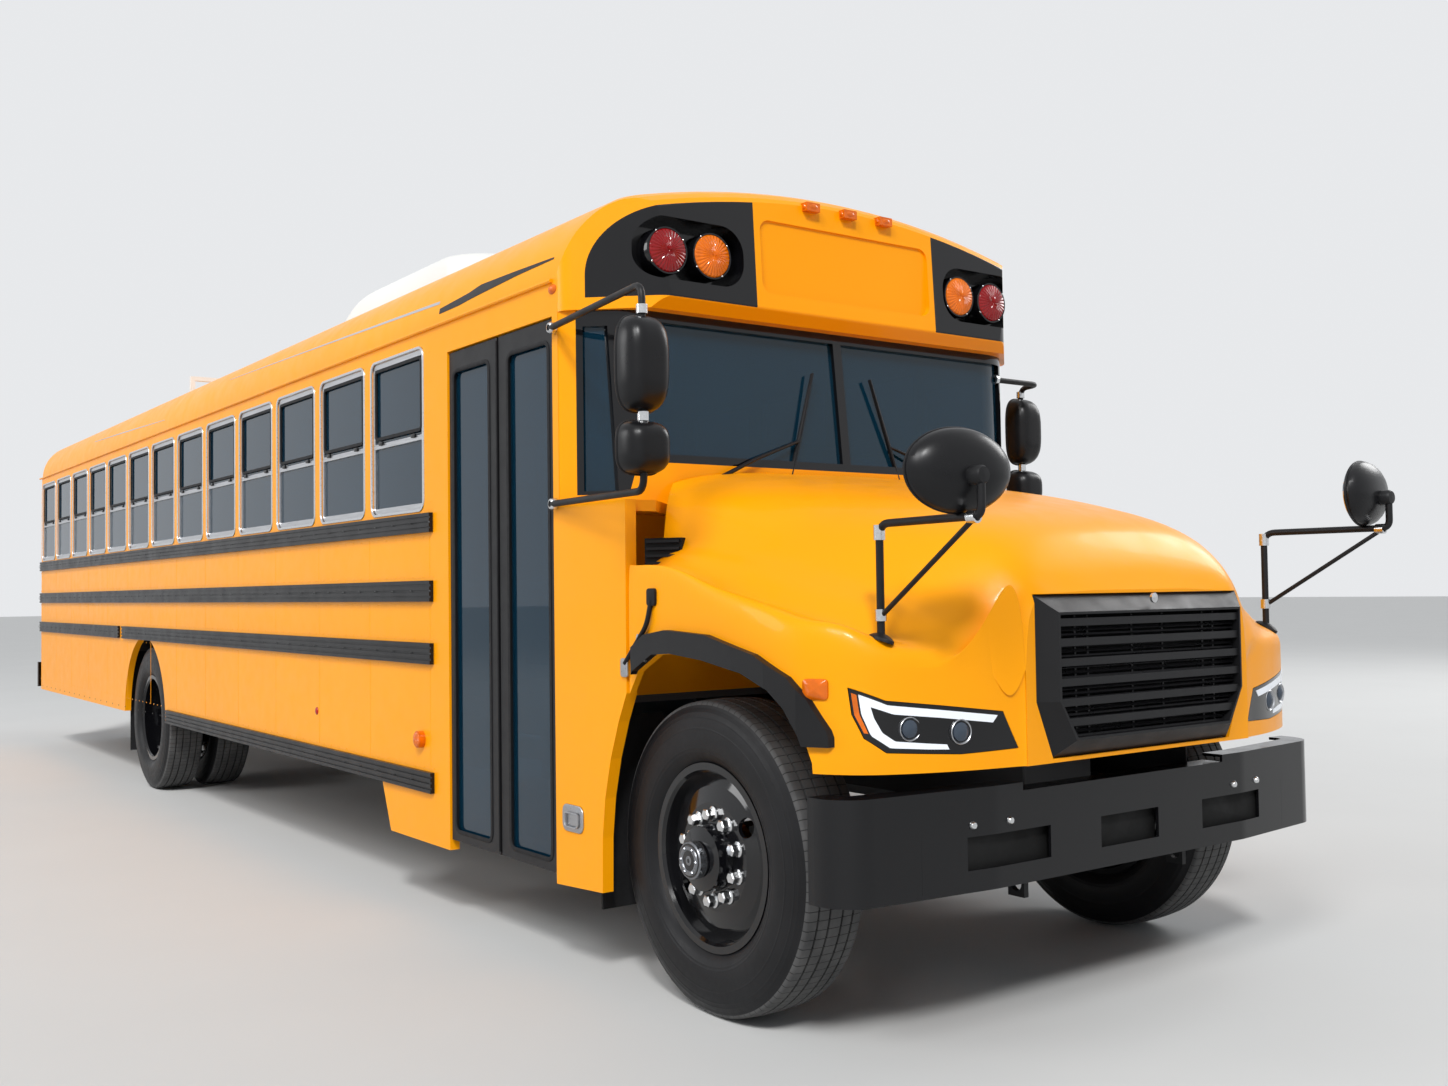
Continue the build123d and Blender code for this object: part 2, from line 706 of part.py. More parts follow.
def tyre(centre_x, y_out, side):
    """Tyre with bulging sidewalls, open at the bead; y_out is its outer face."""
    centre = side * (y_out - tyre_width / 2)
    half = tyre_width / 2
    outside = [(half - 34.3, 294), (half - 34.3, 316), (half - 10, 345)]
    outside += [(half, 400), (half - 7, 455), (half - 26, 500)]
    inside = [(half - 70, 470), (half - 45, 400), (half - 66, 320), (half - 68, 294)]
    crown = [(half - 50, tyre_radius - 3), (0, tyre_radius), (50 - half, tyre_radius - 3)]
    profile = outside + crown + [(-y, r) for y, r in reversed(outside)]
    profile += [(-y, r) for y, r in reversed(inside)] + [(0, 490)] + inside
    return turned([(centre + y, r) for y, r in profile], centre_x, tyre_radius)


def rim_barrel(side, centre, disc):
    """Rim about a centre plane, with the flanges and drop centre; disc closes its section."""
    flange = [(rim_half - 6, 314), (rim_half, 314), (rim_half, 290), (rim_half - 12, 282)]
    top = [(-rim_half + 6, 314), (-rim_half + 6, 291), (-50, 288), (50, 288), (rim_half - 6, 291)]
    low = [(-rim_half + 12, 282), (-rim_half, 290), (-rim_half, 314)]
    return [(side * (centre + y), r) for y, r in flange + disc + low + top]


def nuts(rim, centre_x, y0, y1):
    """Ten wheel nuts joined onto the face of a disc."""
    for k in range(10):
        angle = 2 * pi * (k + 0.5) / 10
        x, z = centre_x + bolt_circle * cos(angle), tyre_radius + bolt_circle * sin(angle)
        rim = rim + rod((x, y0, z), (x, y1, z), 17)
    return rim


def front_rim(side):
    """Steel disc wheel with the hub standing out, for a front corner."""
    mid = front_track_out - tyre_width / 2
    disc = [
        (62, 274), (80, 236), (94, 180), (98, 112), (150, 106), (160, 60), (196, 56), (200, 0),
        (0, 0), (0, 112), (84, 112), (80, 176), (64, 232), (44, 266),
    ]
    rim = turned(rim_barrel(side, mid, disc), front_axle, tyre_radius)
    for k in range(2):
        angle = pi * k + 0.6
        x, z = front_axle + 207 * cos(angle), tyre_radius + 207 * sin(angle)
        rim = rim - rod((x, side * (mid + 40), z), (x, side * (mid + 130), z), 33)
    return nuts(rim, front_axle, side * (mid + 90), side * (mid + 125))


def rear_rims(side):
    """Twin disc wheels of a rear corner, back to back on one hub, as one solid."""
    out = rear_track_out - tyre_width / 2
    face = -dual_spacing / 2  # mating plane of the two discs, from the outer wheel's middle
    outer = [
        (-20, 274), (-80, 236), (face + 38, 180), (face + 14, 112), (face + 110, 106), (face + 130, 50),
        (face + 160, 46), (face + 160, 0), (face, 0), (face, 180), (-100, 232), (-96, 272),
    ]
    rim = turned(rim_barrel(side, out, outer), rear_axle, tyre_radius)
    inner = [
        (-20, 274), (-80, 236), (face + 20, 180), (face + 12, 75),
        (face, 75), (face, 180), (-100, 232), (-96, 272),
    ]
    rim = rim + turned(rim_barrel(-side, dual_spacing - out, inner), rear_axle, tyre_radius)
    middle = out + face
    return nuts(rim, rear_axle, side * (middle + 5), side * (middle + 40))


def wheels():
    for side, name in ((1, "left"), (-1, "right")):
        node(f"front_tyre_{name}", tyre(front_axle, front_track_out, side))
        node(f"front_rim_{name}", front_rim(side))
        outer = tyre(rear_axle, rear_track_out, side)
        inner = tyre(rear_axle, rear_track_out - dual_spacing, side)
        node(f"rear_tyres_{name}", outer, inner)
        node(f"rear_rims_{name}", rear_rims(side))


arm_length = 165  # from the kingpin straight back to the tie rod's end


def steering():
    """Knuckles on the kingpins and the tie rod between their arms."""
    x_end, y_end, rod_z = front_axle - arm_length, kingpin_half, 395
    for side, name in ((1, "left"), (-1, "right")):
        x, y = front_axle, side * kingpin_half
        back_y = (side * (kingpin_half + 52), side * (kingpin_half + 90))
        knuckle = block((x - 45, x + 45), back_y, (420, 620))
        for z0, z1 in ((420, 462), (578, 620)):
            knuckle = knuckle + rod((x, y, z0), (x, y, z1), 48)
            knuckle = knuckle + block((x - 45, x + 45), (y, side * (kingpin_half + 60)), (z0, z1))
        hub_y = side * (front_track_out - tyre_width / 2 - 6)
        knuckle = knuckle + rod((x, back_y[0], tyre_radius), (x, hub_y, tyre_radius), 40)
        knuckle = knuckle + rod((x, y, 460), (x, y, 580), kingpin_radius)
        arm = block((x_end - 24, x), (y - 24, y + 24), (430, 455))
        pin = rod((x_end, y, rod_z - 5), (x_end, y, 440), 12)
        node(f"knuckle_{name}", knuckle + arm + pin)
    bar = rod((x_end, -y_end, rod_z), (x_end, y_end, rod_z), 19)
    for side in (1, -1):
        bar = bar + rod((x_end, side * y_end, rod_z - 25), (x_end, side * y_end, rod_z + 25), 29)
    for side in (1, -1):
        bar = bar - rod((x_end, side * y_end, rod_z - 8), (x_end, side * y_end, rod_z + 30), 12.5)
    node("tie_rod", bar)


# ---------------------------------------------------------------- hood
# Half sections of the hood and fenders, front to back: the setback, then (y, z) from the crown
# over the shoulder and the valley to the edge of the fender.
hood_sections = [
    (-45, (0, 1400), (300, 1398), (430, 1393), (510, 1380), (545, 1340),
     (560, 1290), (568, 1230), (573, 1170), (575, 1110)),
    (-12, (0, 1475), (300, 1472), (435, 1463), (530, 1438), (580, 1381),
     (613, 1321), (654, 1262), (693, 1205), (693, 1160)),
    (25, (0, 1531), (300, 1526), (441, 1514), (546, 1479), (607, 1409),
     (654, 1342), (721, 1281), (783, 1226), (840, 1176)),
    (70, (0, 1579), (300, 1574), (450, 1558), (564, 1514), (635, 1433),
     (693, 1358), (784, 1293), (867, 1239), (960, 1173)),
    (125, (0, 1620), (300, 1614), (462, 1595), (587, 1543), (663, 1455),
     (730, 1374), (839, 1306), (940, 1251), (1061, 1170)),
    (195, (0, 1654), (300, 1647), (478, 1626), (613, 1567), (694, 1479),
     (767, 1395), (886, 1323), (1000, 1268), (1128, 1181)),
    (290, (0, 1685), (300, 1678), (502, 1655), (647, 1592), (731, 1507),
     (806, 1422), (926, 1350), (1049, 1293), (1179, 1210)),
    (410, (0, 1716), (300, 1709), (536, 1683), (688, 1620), (774, 1538),
     (849, 1455), (962, 1382), (1086, 1324), (1206, 1247)),
    (560, (0, 1749), (300, 1742), (581, 1714), (738, 1651), (825, 1572),
     (897, 1490), (1000, 1416), (1115, 1357), (1216, 1286)),
    (730, (0, 1781), (300, 1775), (634, 1745), (795, 1683), (881, 1605),
     (949, 1524), (1040, 1448), (1139, 1385), (1216, 1316)),
    (910, (0, 1811), (300, 1805), (691, 1774), (855, 1714), (936, 1636),
     (1000, 1553), (1079, 1473), (1160, 1406), (1216, 1333)),
    (1090, (0, 1837), (300, 1832), (745, 1801), (911, 1742), (987, 1662),
     (1046, 1575), (1114, 1491), (1176, 1419), (1216, 1341)),
    (1240, (0, 1859), (300, 1854), (785, 1821), (952, 1760), (1025, 1680),
     (1080, 1589), (1138, 1502), (1188, 1426), (1216, 1344)),
    (1390, (0, 1880), (300, 1876), (820, 1840), (985, 1775), (1060, 1695),
     (1110, 1600), (1160, 1510), (1198, 1430), (1216, 1345)),
]
hood_wall = 25
hood_low = 870


def hood_form():
    """Solid body of the hood and fenders, smooth along and across."""
    wires = []
    for setback, *half_section in hood_sections:
        x = behind(setback)
        right = [(x, y, z) for y, z in half_section]
        across = right[::-1] + [(x, -y, z) for x, y, z in right[1:]]
        over = Spline(*across, tangents=[(0, 0, 1), (0, 0, -1)])
        half = across[0][1]
        sides = Polyline(across[-1], (x, -half, hood_low), (x, half, hood_low), across[0])
        wires.append(Wire([*over.edges(), *sides.edges()]))
    return Solid.make_loft(wires, ruled=False)


def hood_hollow(inset):
    """The hood's form in flat facets, this far inside it, open below and at the rear."""
    wires = []
    for setback, *half_section in hood_sections:
        x = behind(setback + inset)
        right = [(x, y - inset if y else 0, z - inset) for y, z in half_section]
        right.append((x, right[-1][1], hood_low - 60))
        ring = right[::-1] + [(x, -y, z) for x, y, z in right[1:]]
        wires.append(Wire.make_polygon(ring, close=True))
    return Solid.make_loft(wires, ruled=True)


def fender_prism(grow):
    """Upright prism on the plan of the fenders, this much wider."""
    right = [(behind(setback), half_section[-1][0] + grow) for setback, *half_section in hood_sections]
    return plate_xy(right + [(x, -y) for x, y in reversed(right)], 800, 1500)


def hood_rear_trim():
    """Everything ahead of the hood's rear edge, which reaches further back in the middle."""
    rear_x, ahead = behind(hood_rear - 4), behind(-200)
    corners = [(behind(1382), 890), (rear_x, 1070), (rear_x, 1300), (ahead, 1300)]
    return plate_xy(corners + [(x, -y) for x, y in reversed(corners)], 500, 2100)


grille_top = 1390
grille_knee = 1060
grille_low = 882
grille_half = (530, 458)  # half width above the knee and at the bottom
grille_bars = 6


def grille_outline(shrink):
    """Front outline of the grille: upright sides and a narrower foot."""
    wide, foot = grille_half[0] - shrink, grille_half[1] - shrink
    right = [(foot, grille_low + shrink), (wide, grille_knee), (wide, grille_top - shrink)]
    return right + [(-y, z) for y, z in reversed(right)]


def front_arch(y0, y1, grow=0):
    """Front wheel opening of a fender: long, with a flat top, as a cutter."""
    table = [
        (1400, 700), (1330, 822), (1240, 985), (1130, 1140), (1010, 1200), (900, 1206), (720, 1190),
        (520, 1158), (400, 1112), (340, 1060), (290, 985), (262, 900), (250, 700),
    ]
    points = []
    cx, cz = 780, 900
    for setback, z in table:
        dx, dz = setback - cx, z - cz
        reach = sqrt(dx * dx + dz * dz)
        scale = 1 + grow / reach
        points.append((behind(cx + dx * scale), cz + dz * scale))
    return plate_xz(points, *sorted((y0, y1)))


def hood_parts():
    shell = (hood_form() & hood_rear_trim()) - hood_hollow(hood_wall)
    shell = shell - plate_yz(grille_outline(0), behind(130), behind(-60))
    for side in (1, -1):
        shell = shell - front_arch(side * 900, side * (body_half + 20))
        shell = shell - headlamp_solid(side, 0)
    node("hood_shell", shell)

    foot, face = behind(-35), behind(-92)
    rings = [(foot - 50, 2), (foot, 2), (face, 56)]
    wires = [
        Wire.make_polygon([(x, y, z) for y, z in grille_outline(shrink)], close=True) for x, shrink in rings
    ]
    surround = Solid.make_loft(wires, ruled=True)
    surround = surround - plate_yz(grille_outline(64), foot - 51, face + 1)
    window = plate_yz(grille_outline(62), foot - 20, face - 8)
    for k in range(grille_bars):
        z = grille_low + 112 + k * (grille_top - grille_low - 200) / (grille_bars - 1)
        bar = block((foot - 20, face - 8), (-grille_half[0], grille_half[0]), (z - 12, z + 12))
        surround = surround + (bar & window)
    for y in (-150, 150):
        upright = block((foot - 34, foot - 19), (y - 10, y + 10), (grille_low + 40, grille_top - 40))
        surround = surround + upright
    node("grille", surround)

    node("headlamps", [headlamp_solid(side, 2) for side in (1, -1)])

    flares = []
    for side in (1, -1):
        y0, y1 = side * 1100, side * (body_half + 40)
        flare = front_arch(y0, y1, grow=85) - front_arch(y0 - side, y1 + side, grow=2)
        keep = block((behind(1140), behind(200)), (y0, y1), (950, 1400))
        flares.append((flare & keep & fender_prism(26)) - hood_form())
    node("fender_flares", flares)


# y and z of the headlamp's edge, which wraps round the corner
headlamp_outline = [
    (595, 925), (650, 1040), (860, 1067), (1020, 1086), (1107, 1126),
    (1100, 1046), (1075, 976), (1020, 932), (800, 919),
]
lamp_depth = 75


def headlamp_solid(side, shrink):
    """Headlamp block in the rounded corner, flush with the hood; shrink leaves a gap around it."""
    keep = Face(Wire.make_polygon([(0, side * y, z) for y, z in headlamp_outline], close=True))
    if shrink:
        keep = offset(keep, -shrink, kind=Kind.INTERSECTION)
    lamp = extrude(Pos(behind(360), 0, 0) * keep, 420, dir=(1, 0, 0))
    return (lamp & hood_form()) - hood_hollow(lamp_depth)


# ---------------------------------------------------------------- mirrors
def mirror_heads(x, y):
    """Tall flat mirror over a small convex one, centred at x and y."""
    heads = []
    for low, high in ((2010, 2330), (1800, 1976)):
        head = block((x - 50, x + 50), (y - 95, y + 95), (low, high))
        heads.append(fillet(head.edges().filter_by(Axis.X), 35))
    return heads


def side_mirrors():
    """Mirrors on looped tubes: ahead of the door on the right, beside the front corner on the left."""
    x, y = behind(910), -1330
    root = (behind(1686), -body_half - 16)
    path = [(*root, 2420), (x - 30, y, 2430), (x - 30, y, 1745), (*root, 1750)]
    right = pipe(path, 13, 60)
    for z in (2420, 1750):
        right = right + block((root[0] - 19, root[0] + 19), (-body_half, -body_half - 24), (z - 45, z + 45))
    for head in mirror_heads(x, y):
        right = right + head

    x, y = behind(1630), 1330
    root = (behind(1500), 1010)
    left = pipe([(*root, 2376), (x - 30, y, 2376), (x - 30, y, 1760), (*root, 1780)], 13, 60)
    left = left - front_form(0)
    for head in mirror_heads(x, y):
        left = left + head
    node("side_mirrors", right, left)


def crossview_mirrors():
    """Oval mirrors ahead of the nose, on braced tubes that stand on the fenders."""
    under = hood_form()
    found = []
    for side in (1, -1):
        post = (behind(140), side * 995)
        stem = (behind(-275), side * 1050)
        mirror = pipe([(*post, 1190), (*post, 1606), (*stem, 1606), (*stem, 1710)], 12, 45)
        mirror = mirror + rod((*post, 1330), (behind(-252), side * 1046, 1565), 8)
        mirror = mirror + rod((behind(-252), side * 1046, 1550), (behind(-252), side * 1046, 1612), 15)
        head = Pos(*stem, 1734) * Rot(0, 0, side * 10) * mirror_bowl()
        head = Pos(half_span - head.bounding_box().max.X, 0, 0) * head
        foot = block((post[0] - 45, post[0] + 45), (post[1] - 35, post[1] + 35), (1180, 1262))
        found.append((mirror + foot) - under + head)
    node("crossview_mirrors", found)


def mirror_bowl():
    """Oval bowl, 344 mm wide and 234 mm high, with its back to the front."""
    sizes = ((62, 60, 36), (40, 140, 94), (-20, 172, 117))  # x, half width, half height
    planes = [Plane(origin=(x, 0, 0), x_dir=(0, 1, 0), z_dir=(-1, 0, 0)) for x, a, b in sizes]
    return loft([plane * Ellipse(a, b) for plane, (x, a, b) in zip(planes, sizes)])


# ---------------------------------------------------------------- entry door
def entry_door():
    """Two glazed leaves; each hinges on its own jamb and swings outward."""
    gap = 7
    x0, x1 = behind(door_rear) + gap, behind(door_front) - gap
    mid = (x0 + x1) / 2
    y0, y1 = -(body_half - 8), -(body_half - 48)
    outer_stile, meeting_stile, low_rail, high_rail = 38, 76, 48, 90
    glass_z = (door_low + low_rail, door_high - high_rail)
    leaves = (
        ("rear", x0, mid - gap, outer_stile, meeting_stile),
        ("front", mid + gap, x1, meeting_stile, outer_stile),
    )
    for name, a, b, stile_a, stile_b in leaves:
        leaf = block((a, b), (y0, y1), (door_low + gap, door_high - gap))
        cut = (a + stile_a, b - stile_b)
        leaf = leaf - block(cut, (y0 - 1, y1 + 1), glass_z)
        node(f"door_leaf_{name}", leaf)
        node(f"door_glass_{name}", block(cut, (y0 + 14, y0 + 20), glass_z))


# ---------------------------------------------------------------- inside
seat_pitch, seat_width, seat_rows = 700, 980, 11
seat_top = 1490


def seats():
    """Passenger benches and the driver's seat, as cushions, backs and legs."""
    cushions, backs, legs = [], [], []
    for k in range(seat_rows):
        x = behind(3400) - k * seat_pitch
        low = 1215 if abs(x - rear_axle) < 900 else floor_high + 1
        for side in (1, -1):
            y = (side * 165, side * (165 + seat_width))
            cushions.append(block((x - 400, x), y, (seat_top - 100, seat_top)))
            backs.append(block((x - 480, x - 400), y, (seat_top - 100, 2020)))
            for leg in (200, 1100):
                legs.append(block((x - 380, x - 40), (side * leg, side * (leg + 40)), (low, seat_top - 100)))
    x = behind(2400)
    cushions.append(block((x + 40, x + 450), (330, 830), (1400, 1520)))
    backs.append(block((x - 60, x + 40), (330, 830), (1400, 2130)))
    legs.append(block((x + 60, x + 400), (430, 730), (floor_high + 1, 1400)))
    node("seat_cushions", cushions)
    node("seat_backs", backs)
    node("seat_legs", legs)


def dashboard():
    """Instrument panel with the steering column, and the steering wheel."""
    body = block((behind(1640), behind(1471)), (-930, 930), (1440, 1735))
    centre, lean = Vector(behind(1750), 580, 1650), Vector(-0.8, 0, 0.6)
    plane = Plane(origin=centre, z_dir=lean)
    spokes = plane * Box(430, 30, 12) + plane * Box(30, 430, 12)
    boss = 34
    wheel = plane * Torus(225, 16) + spokes + plane * Cylinder(50, boss)
    column = rod(tuple(centre - lean * (boss / 2 + 0.5)), tuple(centre - lean * 150), 30)
    node("dashboard", body + column)
    node("steering_wheel", wheel)


# ---------------------------------------------------------------- roof and outside fittings
def roof_top_z(y):
    """Height of the roof's outside at a place across the bus, on the crown arc."""
    flat, rise = body_half - roof_corner, roof_z - spring_z
    crown = (flat**2 + rise**2 - roof_corner**2) / (2 * (rise - roof_corner))
    return roof_z - crown + sqrt(crown**2 - y**2)


def roof_units():
    """Cooling unit, rear hatch and the low bar between them."""
    skin = roof_solid(0, body_rear + cap_depth, cap_front - cap_depth)
    low = roof_top_z(740) - 2
    unit = loft([
        Pos(behind(4430), 0, low) * RectangleRounded(1900, 1480, 200),
        Pos(behind(4430), 0, low + 180) * RectangleRounded(1740, 1380, 240),
        Pos(behind(4430), 0, low + 262) * RectangleRounded(1150, 1120, 280),
    ])
    hatch = loft([
        Pos(behind(9830), 0, low + 20) * RectangleRounded(1000, 1200, 140),
        Pos(behind(9830), 0, low + 178) * RectangleRounded(760, 1060, 200),
    ])
    bar = block((behind(9030), behind(8990)), (-600, 600), (roof_z - 60, roof_z + 225))
    bar = bar - block((behind(9031), behind(8989)), (-565, 565), (roof_z - 61, roof_z + 190))
    node("roof_units", unit - skin, hatch - skin, bar - skin)


def small_lamps():
    """Amber markers on the roof edge and sides, and the round tail lamps."""
    cap = roof_cap(front_corner)
    found = []
    for y in (-200, 0, 200):
        found.append(block((cap_front - 80, cap_front + 6), (y - 35, y + 35), (2950, 2985)) - cap)
    for side in (1, -1):
        face = side * body_half
        found.append(rod((behind(2930), face, 765), (behind(2930), face + side * 25, 765), 38))
        for z, radius in ((1520, 88), (1340, 60), (1180, 60)):
            found.append(rod((body_rear, side * 960, z), (body_rear - 22, side * 960, z), radius))
    node("small_lamps", found)


def mud_flaps():
    """Rubber flaps behind the wheels: setback of the front face, y and z of each."""
    table = [(1458, (900, 1170), (260, 960)), (front - rear_axle + 630, (560, 1170), (230, 999))]
    found = []
    for side in (1, -1):
        for setback, (y0, y1), z in table:
            found.append(block((behind(setback + 10), behind(setback)), (side * y0, side * y1), z))
    node("mud_flaps", found)


def stop_arm():
    """Octagonal arm on the driver's side, folded back against the body."""
    y0, y1 = stop_arm_y - 8, stop_arm_y + 8
    cx, cz, r = behind(2700), 1590, 225
    corners = []
    for k in range(8):
        angle = pi / 8 + k * pi / 4
        corners.append((cx + r * cos(angle), cz + r * sin(angle)))
    blade = plate_xz(corners, y0, y1)
    blade = blade + block((behind(2500), behind(2415)), (y0, y1), (1540, 1640))
    blade = blade + rod((behind(2415), stop_arm_y, 1524), (behind(2415), stop_arm_y, 1656), 14)
    node("stop_arm", blade)


def build_all():
    roof_parts()
    warning_lamps()
    side_walls()
    entry_portal()
    front_wall()
    rear_wall()
    emergency_door()
    windows()
    rub_rails()
    frame_rails()
    front_bumper()
    rear_bumper()
    floor_deck()
    step_well()
    suspension_and_axles()
    power_unit()
    tanks_and_exhaust()
    wheels()
    steering()
    hood_parts()
    side_mirrors()
    crossview_mirrors()
    entry_door()
    seats()
    dashboard()
    roof_units()
    small_lamps()
    mud_flaps()
    stop_arm()


build_all()
os.makedirs("parts", exist_ok=True)
for name, shape in nodes.items():
    export_step(shape, f"parts/{name}.step")
print(len(nodes), "nodes written")
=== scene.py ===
# School bus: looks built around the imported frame. Metres, +X forward, +Y to the driver's side, +Z up.
import json
import math

import bmesh
import bpy
import numpy as np
from mathutils import Matrix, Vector
from mathutils.bvhtree import BVHTree


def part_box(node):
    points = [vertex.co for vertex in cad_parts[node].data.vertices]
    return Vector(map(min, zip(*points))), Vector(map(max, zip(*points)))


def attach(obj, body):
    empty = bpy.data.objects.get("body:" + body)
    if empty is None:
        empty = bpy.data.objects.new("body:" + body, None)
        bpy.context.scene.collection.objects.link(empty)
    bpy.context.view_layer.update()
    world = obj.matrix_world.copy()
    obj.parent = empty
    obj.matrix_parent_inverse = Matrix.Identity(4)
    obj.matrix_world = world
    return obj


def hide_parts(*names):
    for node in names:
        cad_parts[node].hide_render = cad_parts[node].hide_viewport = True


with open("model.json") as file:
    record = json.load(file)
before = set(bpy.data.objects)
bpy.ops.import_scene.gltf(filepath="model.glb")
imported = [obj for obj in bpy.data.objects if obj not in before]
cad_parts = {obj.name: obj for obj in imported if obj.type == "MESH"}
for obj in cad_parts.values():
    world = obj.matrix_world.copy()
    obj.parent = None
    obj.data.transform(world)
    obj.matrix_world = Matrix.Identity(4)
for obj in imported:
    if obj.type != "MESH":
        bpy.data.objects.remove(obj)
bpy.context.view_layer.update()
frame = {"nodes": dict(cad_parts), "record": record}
nodes = frame["nodes"]
for strayName in ("Cube", "Light", "Camera"):  # what a new Blender file starts with
    if strayName in bpy.data.objects and strayName not in nodes:
        bpy.data.objects.remove(bpy.data.objects[strayName])
print("frame loaded:", len(nodes), "nodes")


def loftRings(rings, capStart=True, capEnd=True):
    # rings is (n, m, 3): quads join ring i to ring i+1, and one flat face closes each end
    rings = np.asarray(rings, float)
    count, size = rings.shape[:2]
    i, j = np.meshgrid(np.arange(count - 1), np.arange(size), indexing="ij")
    k = (j + 1) % size
    quads = np.stack([i * size + j, i * size + k, (i + 1) * size + k, (i + 1) * size + j], -1).reshape(-1, 4)
    faces = quads.tolist()
    if capStart:
        faces.append(np.arange(size)[::-1].tolist())
    if capEnd:
        faces.append((np.arange(size) + (count - 1) * size).tolist())
    return rings.reshape(-1, 3), faces


def unit(v):
    v = np.asarray(v, float)
    return v / np.maximum(np.linalg.norm(v, axis=-1, keepdims=True), 1e-12)


def tube(path, radius, sides=14, up=(0, 0, 1), caps=True):
    # circle of the given radius carried along a path, its plane square to the path's direction
    path = np.asarray(path, float)
    along = unit(np.gradient(path, axis=0))
    across = unit(np.cross(along, np.asarray(up, float)))
    third = np.cross(across, along)
    angle = np.linspace(0, 2 * math.pi, sides, endpoint=False)[None, :, None]
    r = np.broadcast_to(np.asarray(radius, float), (len(path),))[:, None, None]
    rings = path[:, None] + r * (np.cos(angle) * across[:, None] + np.sin(angle) * third[:, None])
    return loftRings(rings, caps, caps)


def rounded(points, radius, steps=6):
    # each inner corner p between its tangent points a and b becomes (1-t)^2 a + 2t(1-t) p + t^2 b
    points = np.asarray(points, float)
    radius = np.broadcast_to(np.asarray(radius, float), (len(points),))
    runs = [points[:1]]
    t = np.linspace(0, 1, steps)[:, None]
    for k in range(1, len(points) - 1):
        back, ahead = unit(points[k - 1] - points[k]), unit(points[k + 1] - points[k])
        a, b = points[k] + back * radius[k], points[k] + ahead * radius[k]
        runs.append((1 - t) ** 2 * a + 2 * t * (1 - t) * points[k] + t ** 2 * b)
    runs.append(points[-1:])
    return np.concatenate(runs)


def turned(profile, centre, axis, sides=48, closed=False, caps=False):
    # profile of (along the axis, radius) turned about the axis through centre
    profile = np.asarray(profile, float)
    axis = unit(axis)
    side = unit(np.cross(axis, (0, 0, 1) if abs(axis[2]) < 0.9 else (1, 0, 0)))
    other = np.cross(axis, side)
    angle = np.linspace(0, 2 * math.pi, sides, endpoint=False)
    spoke = np.cos(angle)[:, None] * side + np.sin(angle)[:, None] * other
    rings = np.asarray(centre) + profile[:, None, :1] * axis + profile[:, None, 1:] * spoke
    if closed:
        rings = np.concatenate([rings, rings[:1]])
    return loftRings(rings, caps, caps)


def superOutline(halfWidth, halfHeight, corner, steps=5):
    # rectangle with rounded corners as (m, 2) points, anticlockwise
    corner = min(corner, halfWidth, halfHeight)
    a = np.linspace(0, math.pi / 2, steps)
    quarters = [(1, 1, 0), (-1, 1, 1), (-1, -1, 2), (1, -1, 3)]
    parts = [np.stack([sx * (halfWidth - corner) + corner * np.cos(a + k * math.pi / 2),
                       sy * (halfHeight - corner) + corner * np.sin(a + k * math.pi / 2)], -1)
             for sx, sy, k in quarters]
    return np.concatenate(parts)


def softBlock(centre, size, corner, edge, steps=5, axis=2):
    # rounded rectangle pushed along an axis, its two end edges rolled over by a quarter circle
    order = ((1, 2, 0), (2, 0, 1), (0, 1, 2))[axis]
    halfWidth, halfHeight, halfDepth = (size[k] / 2 for k in order)
    edge = min(edge, halfDepth * 0.95)
    roll = np.linspace(0, math.pi / 2, 4)
    insets = np.concatenate([edge * (1 - np.sin(roll)), edge * (1 - np.cos(roll))])
    heights = np.concatenate([edge * (1 - np.cos(roll)) - halfDepth, halfDepth - edge * (1 - np.sin(roll))])
    rings = np.zeros((len(insets), 4 * steps, 3))
    for ring, inset, height in zip(rings, insets, heights):
        flat = superOutline(halfWidth - inset, halfHeight - inset, max(corner - inset, 0.0005), steps)
        ring[:, order[0]], ring[:, order[1]], ring[:, order[2]] = flat[:, 0], flat[:, 1], height
    return loftRings(rings + np.asarray(centre, float))


def joined(patches):
    # several (points, faces) lists as one, each list's face numbers moved past the points before it
    points, faces, base = [], [], 0
    for p, f in patches:
        points.append(p)
        faces += [[v + base for v in face] for face in f]
        base += len(p)
    return np.concatenate(points), faces


def copies(patch, places):
    # the same small shape at many places: points plus each offset
    points, faces = patch
    places = np.asarray(places, float)
    allPoints = (points[None] + places[:, None]).reshape(-1, 3)
    allFaces = [[v + k * len(points) for v in face] for k in range(len(places)) for face in faces]
    return allPoints, allFaces


def piece(name, patches, material, body, smoothAngle=35):
    # a mesh object at the origin from a list of (points, faces), faces turned outwards
    points, faces = joined(patches)
    mesh = bpy.data.meshes.new(name)
    mesh.from_pydata(points.tolist(), [], faces)
    work = bmesh.new()
    work.from_mesh(mesh)
    bmesh.ops.remove_doubles(work, verts=work.verts, dist=1e-6)
    bmesh.ops.recalc_face_normals(work, faces=work.faces)
    work.to_mesh(mesh)
    work.free()
    mesh.polygons.foreach_set("use_smooth", np.ones(len(mesh.polygons), bool))
    mesh.set_sharp_from_angle(angle=math.radians(smoothAngle))
    mesh.materials.append(material)
    made = bpy.data.objects.new(name, mesh)
    bpy.context.scene.collection.objects.link(made)
    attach(made, body)
    return made


